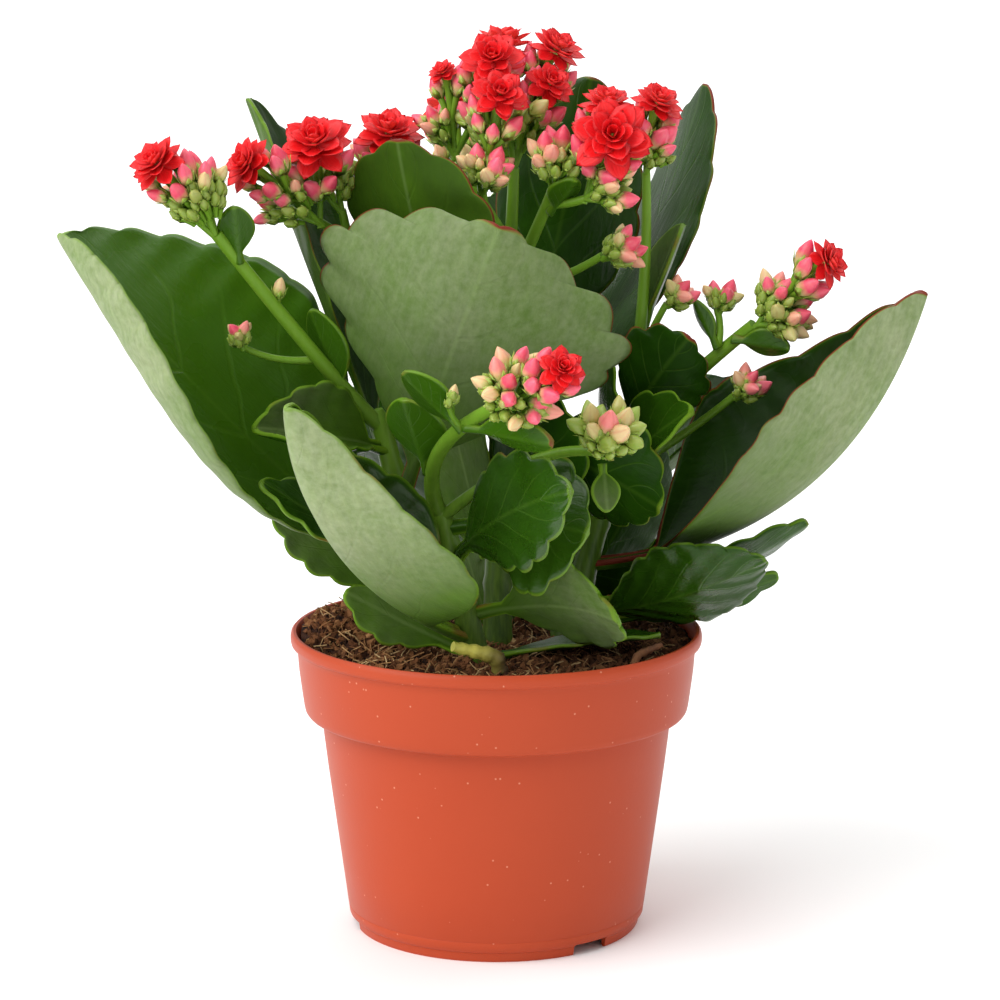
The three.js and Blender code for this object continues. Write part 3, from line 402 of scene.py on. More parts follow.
tinted = put(LITTER, "GeometryNodeStoreNamedAttribute", {
    "Geometry": laid, "Name": "tint", "Value": random_value(0.05, litter_in["Lightest"], litter_in["Seed"]),
}, data_type="FLOAT", domain="INSTANCE")
end_tree(LITTER, tinted, litter_in["Material"], litter_out, smooth=False)


def run_tree(name, source, tree, values):
    """A plain mesh of what a Geometry Nodes tree makes of the source, with its named inputs set."""
    carrier = add_object(name, source.data.copy())
    modifier = carrier.modifiers.new("grow", "NODES")
    modifier.node_group = tree
    for item in tree.interface.items_tree:
        if item.in_out == "INPUT" and item.name in values:
            modifier[item.identifier] = values[item.name]
    return evaluated_mesh(carrier, name)


hand_over(soil, "soil", "soil")
for name, sizes in LITTER_KINDS.items():
    litter = run_tree(name, soil, LITTER, {**sizes, "Material": peat})
    hand_over(litter, "soil", "soil")

# ==== Shoots ====
# Five fleshy green shoots stand in the soil. They swell a little at their joints, and each carries
# one to three small leaves of its own, which are made with the leaves below.

SHOOTS = {  # ends of the axis in mm, and radius at both
    "left": dict(foot=(-14, 0, 70), top=(-34, -9, 154), radius=(4.4, 2.8)),
    "right": dict(foot=(16, 2, 70), top=(39, 6, 152), radius=(4.4, 2.8)),
    "centre": dict(foot=(0, -4, 70), top=(2, 6, 182), radius=(4.6, 2.8)),
    "front": dict(foot=(-2, -24, 70), top=(-16, -34, 131), radius=(4.2, 3.0)),
    "back": dict(foot=(2, 22, 70), top=(8, 38, 162), radius=(4.4, 2.8)),
}
SHOOT_SIDES = 20
SHOOT_STATIONS = 40  # along each shoot
JOINT_SPACING = 17.0
JOINT_SWELL = 0.13
ROUNDED_TOP = (0.96, 0.85, 0.5)  # how the last three radii shrink


def translucent(weight, radius, scale):
    """Shader inputs for light under a skin: how much, how far red, green and blue go, and the unit."""
    return {"Subsurface Weight": weight, "Subsurface Radius": radius, "Subsurface Scale": scale}


# Skin of stems: fresh green, yellower higher up and darkened low down near the soil as painted shade, with
# fine lengthwise streaks
stem_skin, tree, shader, place = new_material("stem_skin")
# Painted shade: the green turns dark towards the soil, where the leaves shade the stems
above_painted_shade = ramp(put(tree, "ShaderNodeSeparateXYZ", {0: place}, "Z"), 0.1, 0.17)
green_shaded_low = blend_colour(above_painted_shade, srgb(30, 56, 8), srgb(104, 148, 34))
stem_other = blend_colour(0.4, green_shaded_low, srgb(136, 172, 58))
drawn_out = put(tree, "ShaderNodeMapping", {"Vector": place, "Scale": (1.0, 1.0, 0.12)})
streaked, streak = mottled(drawn_out, green_shaded_low, stem_other, 700.0, 3.0, 1.4)
feed(shader, {
    "Base Color": streaked, "Roughness": 0.42, "Specular IOR Level": 0.25,
    "Normal": bump(0.15, 0.0002, streak), **translucent(0.08, (0.3, 1.0, 0.15), 0.002),
})


def named_value(tree, name, data_type="FLOAT"):
    """What the points carry under a name, for a Geometry Nodes tree."""
    return put(tree, "GeometryNodeInputNamedAttribute", {"Name": name}, "Attribute", data_type=data_type)


# A round stem along each path, as thick as the path's own thickness says
STALKS, stalk_in, stalk_out = group_tree(
    "stalks", "GeometryNodeTree", {"Paths": "Geometry", "Sides": "Int", "Material": "Material"},
    {"Stalks": "Geometry"},
)
lines = put(STALKS, "GeometryNodeMeshToCurve", {0: stalk_in["Paths"]})
thickness = named_value(STALKS, "thickness")
sized = put(STALKS, "GeometryNodeSetCurveRadius", {"Curve": lines, "Radius": thickness})
hoop = put(STALKS, "GeometryNodeCurvePrimitiveCircle", {"Resolution": stalk_in["Sides"], "Radius": 1.0})
skinned = put(STALKS, "GeometryNodeCurveToMesh", {
    "Curve": sized, "Profile Curve": hoop, "Fill Caps": True, "Scale": thickness,
})
end_tree(STALKS, skinned, stalk_in["Material"], stalk_out)


def store(mesh, values):
    """Keep values on the points of a mesh: a number each, or a vector each."""
    for key, numbers in values.items():
        numbers = np.array(numbers, np.float32)
        kind, field = ("FLOAT", "value") if numbers.ndim == 1 else ("FLOAT_VECTOR", "vector")
        mesh.attributes.new(key, kind, "POINT").data.foreach_set(field, numbers.ravel())


def outside_scene(name, points, edges, faces, values):
    """An object that is not in the scene, for a tree to read; its points carry values."""
    mesh = bpy.data.meshes.new(name)
    mesh.from_pydata(np.asarray(points).tolist(), edges, faces)
    store(mesh, values)
    return bpy.data.objects.new(name, mesh)


def stalk_piece(name, paths, sides, material):
    """Stalks along paths, each given as (points in mm, thicknesses in mm)."""
    points, edges, thick = [], [], []
    for path, radii in paths:
        edges += [(len(points) + i, len(points) + i + 1) for i in range(len(path) - 1)]
        points += [tuple(p) for p in path]
        thick += [r / 1000 for r in radii]
    source = outside_scene(name, np.array(points) / 1000, edges, [], {"thickness": thick})
    made = run_tree(name, source, STALKS, {"Sides": sides, "Material": material})
    bpy.data.objects.remove(source)
    return made


def shoot_point(shoot, height):
    """Where a shoot's axis is at a height."""
    foot, top = np.array(SHOOTS[shoot]["foot"]), np.array(SHOOTS[shoot]["top"])
    return foot + (top - foot) * (height - foot[2]) / (top[2] - foot[2])


shoot_paths = []
for shoot, form in SHOOTS.items():
    heights = np.linspace(form["foot"][2], form["top"][2], SHOOT_STATIONS)
    swell = 1 + JOINT_SWELL * np.maximum(np.cos(heights * 2 * math.pi / JOINT_SPACING), 0) ** 6
    radii = np.interp(heights, (heights[0], heights[-1]), form["radius"]) * swell
    radii[-3:] *= ROUNDED_TOP
    shoot_paths.append(([shoot_point(shoot, h) for h in heights], radii))
shoots = stalk_piece("shoot_stems", shoot_paths, SHOOT_SIDES, stem_skin)
hand_over(shoots, "shoot", *("shoot_" + name for name in SHOOTS))

# ==== Leaves ====
# Thick fleshy blades with scalloped margins, dark and glossy above, matt and pale sage beneath, with
# a thin yellow-green rim that turns reddish. Each grows from its shoot on a short channelled stalk.

PETIOLE = 0.14  # share of the length that is stalk
STALK_HALF_WIDTH = 2.4
BLADE_THICKNESS = 2.0
MARGIN_THICKNESS = 1.0
STALK_THICKNESS = 3.6
RIPPLE = 0.35  # how far the margin waves up and down
GROOVE_DEPTH = 0.42  # of the channel along the midrib above
RIDGE_HEIGHT = 0.5  # of the midrib below
ROWS_PER_LOBE = 14  # rows of faces along a blade, which crowd where the tip is round
FEWEST_ROWS = 40
WIDE_BLADE = 45  # mm across from which a blade gets more columns of faces
WIDE_COLUMNS = 14  # from midrib to margin
NARROW_COLUMNS = 10
USUAL_PEAK = 0.55
SMALL_STEP = 0.005  # along the blade, to find how its outline slopes

# Blades as they grow: shoot and height they leave it at, tip, width, form, and look. bow arches the
# midrib, roll turns the blade about it, fold raises both halves and cup curls each, twist turns it
# along its length, sway bends it sideways, peak is where it is widest, lobes and notch are how many
# scallops it has and how deep. A turned blade has its glossy face on its other side. tone is how
# light the upper face is, pale how light the underside, crinkle how wrinkled it is, red how much of
# the rim has turned, and dull how little it shines.
LEAVES = {
    "wide_left": dict(shoot="left", height=100, tip=(-122, -19, 205), width=106, roll=-46, fold=6,
        cup=(13, 65), twist=51, sway=-0.08, peak=0.56, lobes=13, notch=1.6, tone=0.7, pale=0.78, red=0.12,
        dull=0.55),
    "wide_right": dict(shoot="right", height=106, tip=(123, 2, 186), width=99, bow=-0.34, roll=-11, fold=38,
        cup=(-20, 61), twist=-32, sway=-0.02, peak=0.42, lobes=9, notch=1.6, tone=0.08, pale=0.74, red=0.6,
        dull=0.6),
    "front_tall": dict(shoot="left", height=126, tip=(1, -50, 211), width=104, bow=-0.19, roll=-44, fold=16,
        cup=(18, 27), peak=0.64, lobes=8, notch=4.6, pale=0.4, red=0.7),
    "centre_tall": dict(shoot="centre", height=141, tip=(-27, -21, 232), width=55, bow=-0.07, roll=3,
        fold=2, cup=(3, 11), twist=22, sway=0.03, peak=0.68, lobes=7, notch=2, pale=0.0, red=0.6),
    "front_left": dict(shoot="front", height=91, tip=(-54, -97, 169), width=67, bow=-0.22, roll=-23,
        fold=50, cup=(60, -10), twist=21, sway=0.06, peak=0.3, lobes=8, notch=1.4, pale=0.85, tone=0.2,
        red=0.25),
    "front_round": dict(shoot="front", height=114, tip=(20, -82, 144), width=34, bow=-0.06, roll=-88,
        fold=-7, cup=(9, 11), twist=-9, sway=0.09, lobes=7, notch=2.2, turned=True, tone=0.16, crinkle=0.4,
        dull=0.1),
    "front_curved": dict(shoot="front", height=124, tip=(25, -59, 128), width=41, bow=0.07, roll=-104,
        fold=-3, cup=(14, 6), twist=-13, sway=0.1, peak=0.58, lobes=6, notch=1.6, turned=True, tone=0.3),
    "front_hanging": dict(shoot="front", height=98, tip=(33, -57, 104), width=39, bow=-0.2, roll=124,
        fold=-14, cup=(13, 5), twist=12, peak=0.62, lobes=6, notch=2.4, turned=True, tone=0.55, pale=0.22,
        dull=0.8),
    "low_right": dict(shoot="right", height=92, tip=(77, -16, 112), width=43, bow=-0.12, roll=-43, fold=3,
        cup=(12, 6), twist=18, peak=0.57, lobes=9, notch=1.8, turned=True, tone=0.16, crinkle=0.9,
        dull=0.6),
    "low_right_back": dict(shoot="right", height=95, tip=(91, 8, 118), width=38, bow=-0.14, roll=-22,
        fold=5, cup=(4, 1), twist=-18, peak=0.52, lobes=6, notch=2, turned=True, tone=0.12, dull=0.9),
    "low_right_under": dict(shoot="right", height=87, tip=(83, 12, 101), width=20, bow=-0.05, roll=-47,
        fold=-4, peak=0.68, lobes=6, notch=2, turned=True, tone=0.3, dull=0.8),
    "middle_right": dict(shoot="right", height=144, tip=(55, -9, 175), width=32, bow=-0.03, roll=-65,
        fold=10, cup=(16, 16), sway=0.06, peak=0.56, lobes=6, notch=2, turned=True, tone=0.02, red=0.5,
        dull=0.85),
    "back_right_tall": dict(shoot="back", height=139, tip=(62, 43, 243), width=56, bow=-0.13, roll=5,
        cup=(-12, -8), twist=10, peak=0.5, lobes=8, notch=2, tone=0.12, pale=0.0, red=0.5, dull=0.6),
    "left_tall": dict(shoot="left", height=132, tip=(-72, 24, 240), width=40, roll=14, fold=28,
        cup=(15, 12), twist=14, peak=0.5, lobes=7, notch=1.6, tone=0.05, crinkle=0.5),
    "inner_right": dict(shoot="centre", height=147, tip=(46, -36, 131), width=37, bow=-0.02, roll=-89,
        fold=15, cup=(17, 18), sway=0.06, peak=0.57, lobes=7, notch=2, turned=True, tone=0.02, dull=0.9),
    "inner_left": dict(shoot="left", height=96, tip=(-37, -30, 141), width=20, roll=-89, fold=3,
        cup=(15, 9), peak=0.52, lobes=7, notch=2, turned=True, tone=0.3, dull=0.5),
    "inner_centre": dict(shoot="centre", height=104, tip=(16, -22, 161), width=37, roll=-75, fold=5,
        cup=(8, 8), peak=0.6, lobes=7, notch=2, turned=True, tone=0.02, dull=0.9),
    "on_soil": dict(shoot="front", height=85, tip=(47, -18, 90), width=22, bow=0.03, roll=-6, fold=8,
        peak=0.55, lobes=5, notch=1.4, tone=0.1),
    "low_left": dict(shoot="front", height=108, tip=(-65, -47, 140), width=22, bow=-0.09, roll=-48, fold=14,
        cup=(10, 20), peak=0.5, lobes=7, notch=1.6, tone=0.1, crinkle=0.2, dull=0.5),
    "back_tall": dict(shoot="back", height=146, tip=(28, 28, 246), width=46, bow=0.02, roll=-88, fold=8,
        cup=(6, 6), peak=0.56, lobes=7, notch=1.8, turned=True, tone=0.05, red=0.4, dull=0.5),
    "back_low": dict(shoot="back", height=92, tip=(20, 97, 113), width=62, bow=0.08, roll=6, fold=10,
        cup=(10, 10), peak=0.56, lobes=8, notch=2, dull=0.6),
    "back_left_low": dict(shoot="back", height=98, tip=(-62, 84, 146), width=70, bow=-0.1, roll=8, fold=18,
        cup=(20, 20), peak=0.55, lobes=8, notch=2),
    "back_right_low": dict(shoot="back", height=104, tip=(80, 76, 150), width=74, bow=-0.12, roll=-6,
        fold=18, cup=(18, 18), peak=0.55, lobes=8, notch=2, dull=0.6),
    "back_wide": dict(shoot="back", height=120, tip=(-52, 92, 190), width=78, bow=-0.15, roll=5, fold=20,
        cup=(20, 20), peak=0.56, lobes=9, notch=2.4, dull=0.6),
    "back_upper": dict(shoot="back", height=134, tip=(6, 98, 208), width=58, bow=-0.12, roll=-8, fold=16,
        cup=(16, 16), peak=0.58, lobes=8, notch=2.2),
}
SHOOT_LEAVES = [
    dict(shoot="right", height=131, tip=(55, -26, 156), width=30, bow=-0.07, roll=-106, fold=-19,
        cup=(0, -14), twist=-40, peak=0.5, lobes=5, notch=1.8),
    dict(shoot="left", height=142, tip=(-67, -42, 154), width=34, bow=0.05, roll=-52, fold=38, cup=(26, 33),
        twist=-11, peak=0.48, lobes=7, notch=1.6),
    dict(shoot="front", height=86, tip=(-43, -24, 104), width=18, bow=-0.12, roll=-60, fold=10, peak=0.6,
        lobes=5, notch=1.4),
    dict(shoot="right", height=97, tip=(49, 21, 138), width=42, roll=-84, fold=6, cup=(8, 8), peak=0.58,
        lobes=6, notch=1.8),
    dict(shoot="centre", height=96, tip=(-14, 20, 154), width=38, roll=-90, fold=6, cup=(8, 8), peak=0.6,
        lobes=6, notch=1.8),
    dict(shoot="right", height=122, tip=(31, -4, 173), width=36, roll=-86, fold=4, cup=(6, 6), peak=0.6,
        lobes=6, notch=1.8),
    dict(shoot="back", height=93, tip=(50, 28, 106), width=24, roll=-84, fold=4, cup=(8, 8), peak=0.6,
        lobes=6, notch=1.6),
    dict(shoot="centre", height=83, tip=(-8, 12, 108), width=26, roll=-92, fold=4, cup=(6, 6), peak=0.6,
        lobes=6, notch=1.6),
    dict(shoot="left", height=91, tip=(-65, 4, 129), width=26, bow=-0.04, roll=-72, fold=10, cup=(12, 12),
        peak=0.6, lobes=7, notch=1.6),
]

LEAF_LOOK = dict(tone=0.15, pale=0.12, crinkle=0.0, red=0.2, dull=0.35)  # where a blade doesn't say


def unit(vectors):
    """The vectors, each made one long."""
    return vectors / np.linalg.norm(vectors, axis=-1, keepdims=True)


def leaf_length(leaf):
    """How far a blade's tip is from its root."""
    return np.linalg.norm(np.subtract(leaf["tip"], leaf["root"]))


def midrib(leaf, m):
    """The midrib at m (0 root, 1 tip): point, direction up from the blade, and direction sideways."""
    root, tip = np.array(leaf["root"]), np.array(leaf["tip"])
    length = leaf_length(leaf)
    along = (tip - root) / length
    up = unit(np.array([0, 0, 1.0]) - along[2] * along)
    roll = math.radians(leaf.get("roll", 0))
    up = up * math.cos(roll) + np.cross(along, up) * math.sin(roll)
    side = np.cross(along, up)
    elbow = (root + tip) / 2 + leaf.get("bow", 0) * length * up + leaf.get("sway", 0) * length * side
    m = m[..., None]
    point = (1 - m) ** 2 * root + 2 * m * (1 - m) * elbow + m ** 2 * tip
    tangent = unit((1 - m) * (elbow - root) + m * (tip - elbow))
    normal = unit(up - (tangent @ up)[..., None] * tangent)
    across = np.cross(tangent, normal)
    turn = math.radians(leaf.get("twist", 0)) * (m - 0.5)
    return (point, normal * np.cos(turn) + across * np.sin(turn),
            across * np.cos(turn) - normal * np.sin(turn))


def half_width(leaf, m):
    """Half the blade's width at m, before its lobes are cut."""
    k = math.log(0.5) / math.log(leaf.get("peak", USUAL_PEAK))
    t = np.clip((m - PETIOLE) / (1 - PETIOLE), 0, 1)
    blade = leaf["width"] / 2 * np.sin(np.pi * t ** k) ** (0.55 + 0.45 * (1 - t))
    return np.maximum(leaf.get("stalk", STALK_HALF_WIDTH) * (1 - 0.55 * m), blade)


def toward_tip(m):
    """How far the scallops have grown in: none at the stalk, all of them from the middle on."""
    return np.clip(3 * m - 0.6, 0, 1)


def scallop(leaf, m, s):
    """How far the margin steps inward, along and across: rounded lobes with a sharp notch between."""
    if not leaf.get("lobes"):
        return 0 * m, 0 * m
    length = leaf_length(leaf)
    stations = np.linspace(1, 0, 101)
    walked = np.append(0, np.cumsum(np.hypot(length / 100, np.diff(half_width(leaf, stations)))))
    phase = leaf["lobes"] * np.interp(-m, -stations, walked / walked[-1]) + 0.35
    lobe = np.sin(np.pi * (phase % 1) ** 0.75)
    depth = (1 - lobe) * leaf["notch"] * toward_tip(m) * np.abs(s) ** 3
    before, after = m - SMALL_STEP, np.minimum(m + SMALL_STEP, 1)
    slope = (half_width(leaf, after) - half_width(leaf, before)) / ((after - before) * length)
    return depth * slope / np.hypot(1, slope) / length, -depth / np.hypot(1, slope)


def blade_points(leaf, m, s):
    """Points of the blade's middle surface at m along and s across, from -1 to 1."""
    back, inward = scallop(leaf, m, s)
    point, normal, across = midrib(leaf, m + back)
    fold, cup = leaf.get("fold", 0), leaf.get("cup", (0, 0))
    reach, out, rise = np.abs(s), np.zeros_like(s), np.zeros_like(s)
    for i in range(10):
        u = (i + 0.5) / 10 * reach
        angle = np.radians(fold * (1 - np.exp(-u / 0.18)) + np.where(s > 0, cup[0], cup[1]) * u)
        out += np.cos(angle) * reach / 10
        rise += np.sin(angle) * reach / 10
    w = half_width(leaf, m) + inward
    return point + (np.sign(s) * out * w)[..., None] * across + (rise * w)[..., None] * normal, w


def shell_faces(rows, columns):
    """Faces of a closed blade: its upper grid, its lower grid, and a strip over each end."""
    grid = np.arange(rows * columns).reshape(rows, columns)
    under = grid + grid.size
    under[:, 0], under[:, -1] = grid[:, 0], grid[:, -1]  # both grids share the rim
    top_quads = [grid[:-1, :-1], grid[:-1, 1:], grid[1:, 1:], grid[1:, :-1]]
    low_quads = [under[:-1, :-1], under[1:, :-1], under[1:, 1:], under[:-1, 1:]]
    faces = [quad for quads in (top_quads, low_quads) for quad in np.stack(quads, -1).reshape(-1, 4).tolist()]
    for row, order in ((0, -1), (-1, 1)):
        ends = np.stack([grid[row, :-1], grid[row, 1:], under[row, 1:], under[row, :-1]], -1)
        faces += [list(dict.fromkeys(quad[::order])) for quad in ends.tolist()]
    return faces


def skin_values(leaf, m, s, w, rim):
    """What the leaf skin reads at each point of a blade: all those above, then all those below."""
    length = leaf_length(leaf)
    edge = np.minimum((1 - np.abs(s)) * w, (1 - m) * length)
    values = {"along": m, "across": s, "edge": edge, "wide": w, "far": m * length}
    at = {key: np.concatenate([numbers.ravel()] * 2) for key, numbers in values.items()}
    above = 1.0 if leaf.get("turned") else 0.0
    at["under"] = np.concatenate([np.where(rim, 0.5, side).ravel() for side in (above, 1 - above)])
    for key, default in LEAF_LOOK.items():
        at[key] = np.full(2 * m.size, leaf.get(key, default))
    return at


def leaf_shell(leaf):
    """A closed blade: points, faces, and the values that the leaf skin reads at each point."""
    lobes = leaf.get("lobes", 0)
    inner = np.linspace(0, 1, WIDE_COLUMNS if leaf["width"] > WIDE_BLADE else NARROW_COLUMNS) ** 0.8
    s_line = np.concatenate([-inner[:0:-1], inner])
    m_line = 1 - (1 - np.linspace(0, 1, max(FEWEST_ROWS, ROWS_PER_LOBE * lobes))) ** 1.45
    m, s = np.meshgrid(m_line, s_line, indexing="ij")
    points, w = blade_points(leaf, m, s)
    flat, _ = blade_points({**leaf, "lobes": 0}, m, s)
    normal = unit(np.cross(np.gradient(flat, axis=1), np.gradient(flat, axis=0)))
    stalky = 1 - np.clip(m / 0.2, 0, 1)
    middle = BLADE_THICKNESS + (STALK_THICKNESS - BLADE_THICKNESS) * stalky
    margin = MARGIN_THICKNESS + (0.4 * STALK_THICKNESS - MARGIN_THICKNESS) * stalky
    rim = np.abs(np.abs(s) - 1) < 1e-6
    half = np.where(rim, 0, (middle + (margin - middle) * np.abs(s)) / 2)
    half[-1] *= 0.4
    wave = RIPPLE * np.sin(2 * np.pi * lobes * m + 1.2 * np.sign(s)) * np.abs(s) ** 2 * toward_tip(m)
    mm_out = np.abs(s) * w
    groove = GROOVE_DEPTH * np.exp(-(mm_out / 1.1) ** 2) * np.clip(1 - m, 0, 1)
    ridge = RIDGE_HEIGHT * np.exp(-(mm_out / 1.0) ** 2) * np.clip(1 - m, 0, 1)
    upper = points + (half + wave - groove)[..., None] * normal
    lower = points - (half - wave + ridge)[..., None] * normal
    both = np.concatenate([upper.reshape(-1, 3), lower.reshape(-1, 3)])
    return both, shell_faces(*m.shape), skin_values(leaf, m, s, w, rim)


def carried_values(tree, *names):
    """What the points of the mesh carry under each name, for a material."""
    return [put(tree, "ShaderNodeAttribute", output="Fac", attribute_name=name) for name in names]


# Skin of leaves, driven by where on the blade a point is
leaf_skin, tree, shader, place = new_material("leaf_skin")
along, across, edge = carried_values(tree, "along", "across", "edge")
under, wide, far = carried_values(tree, "under", "wide", "far")
tone, pale, crinkle, red, dull = carried_values(tree, *LEAF_LOOK)

# Veins fork off the midline towards the tip
aside = maths("ABSOLUTE", across)
vein_line = maths("MULTIPLY_ADD", aside, -0.34, along)
vein_place = maths("MULTIPLY_ADD", noise(place, 45.0, 1.0), 0.1, vein_line)
vein_wave = maths("SINE", maths("MULTIPLY", vein_place, 2 * math.pi * 6.0))
vein = maths("MULTIPLY", ramp(vein_wave, 0.95, 1.0), ramp(aside, 0.8, 0.4))
midline = ramp(maths("MULTIPLY", aside, wide), 0.9, 0.2)
veins = maths("MAXIMUM", vein, midline)

# Upper face
upper_tone = blend_colour(tone, srgb(15, 40, 5), srgb(72, 116, 14))
upper_other = blend_colour(0.45, upper_tone, srgb(52, 98, 12))
upper_patchy, _ = mottled(place, upper_tone, upper_other, 48.0, 4.0, 2.0)
upper_face = blend_colour(maths("MULTIPLY", veins, 0.09), upper_patchy, srgb(116, 160, 52))

# Underside: greener near the stalk, streaked lengthwise, with a fine pale waxy bloom further out that is
# partly a painted sheen
under_tone = blend_colour(pale, srgb(44, 66, 14), srgb(166, 178, 132))
near_stalk = ramp(along, 0.72, 0.2, 0.0, 0.95)
faded = blend_colour(near_stalk, under_tone, srgb(48, 76, 12))
greener = blend_colour(0.55, faded, srgb(84, 124, 22))
under_patchy, _ = mottled(place, faded, greener, 38.0, 4.0, 2.4)
darker = blend_colour(0.3, under_patchy, srgb(44, 74, 16))
side_mm = maths("MULTIPLY", across, wide)
drawn_along = put(tree, "ShaderNodeCombineXYZ",
                  {0: maths("MULTIPLY", far, 0.11), 1: maths("MULTIPLY", side_mm, 0.42)})
under_drawn, streaks = mottled(drawn_along, under_patchy, darker, 1.0, 7.0, 2.4)
# Partly real wax bloom, partly painted sheen: the underside is paled towards its outer part
wax_bloom_and_sheen = maths("MULTIPLY", pale, ramp(along, 0.3, 0.75, 0.0, 0.24))
paler = blend_colour(wax_bloom_and_sheen, under_drawn, srgb(208, 214, 184))
under_grainy, _ = mottled(place, under_drawn, paler, 420.0, 5.0, 3.0)
under_face = blend_colour(maths("MULTIPLY", midline, 0.14), under_grainy, srgb(150, 176, 110))

# Rim, shine and relief
either_face = blend_colour(ramp(under, 0.45, 0.55), upper_face, under_face)
inner_rim = maths("MULTIPLY", ramp(edge, 1.0, 0.35), 0.6)
rimmed = blend_colour(inner_rim, either_face, srgb(112, 150, 34))
blush = noise(place, 60.0, 2.0)
blush_mask = ramp(maths("ADD", blush, red), 0.75, 0.95)
outer_rim = maths("MULTIPLY", ramp(edge, 0.75, 0.3), blush_mask)
upper_gloss = ramp(blush, 0.35, 0.7, 0.22, 0.4)
shine = maths("MULTIPLY_ADD", dull, -1.0, 1.0)
pleats = maths("MULTIPLY", maths("MULTIPLY", vein_wave, 0.4), crinkle)
pucker_depth = maths("MULTIPLY_ADD", crinkle, 0.9, 0.2)
relief = maths("MULTIPLY_ADD", noise(place, 170.0, 3.0), pucker_depth, pleats)
relief = maths("MULTIPLY_ADD", vein, -0.12, relief)
relief = maths("MULTIPLY_ADD", streaks, 0.16, relief)
feed(shader, {
    "Base Color": blend_colour(outer_rim, rimmed, srgb(118, 48, 34)),
    "Roughness": put(tree, "ShaderNodeMix", {0: under, 2: upper_gloss, 3: 0.5}, data_type="FLOAT"),
    "Specular IOR Level": maths("MULTIPLY", ramp(under, 0.45, 0.55, 0.5, 0.14), shine),
    "Normal": bump(0.6, 0.0012, relief),
    **translucent(0.06, (0.4, 1.0, 0.1), 0.002),
})


def leaf_piece(name, leaves):
    """One object of one or more leaves, with the values that the leaf skin reads."""
    points, faces, values = [], [], {}
    for leaf in leaves:
        shell, quads, at = leaf_shell(leaf)
        faces += [[i + len(points) for i in quad] for quad in quads]
        points += shell.tolist()
        for key, numbers in at.items():
            values.setdefault(key, []).append(numbers)
    piece = mesh_piece(name, points, faces, leaf_skin)
    store(piece.data, {key: np.concatenate(numbers) for key, numbers in values.items()})
    return piece


def growing(form, **more):
    """A leaf's form with the point on its shoot that it grows from."""
    return {**more, **form, "root": shoot_point(form["shoot"], form["height"])}


for name, form in LEAVES.items():
    hand_over(leaf_piece("blade_" + name, [growing(form)]), "leaf", "leaf_" + name)
for shoot in ("left", "right", "front", "centre", "back"):
    own = [growing(form, turned=True, dull=0.92) for form in SHOOT_LEAVES if form["shoot"] == shoot]
    hand_over(leaf_piece("small_leaves_" + shoot, own), "shoot", "shoot_" + shoot)

# ==== Flower heads ====
# Each head branches again and again from one fleshy stalk, and every branch ends in a tight knot of
# buds. Small bracts, which are leaves in all but size, grow at its forks.

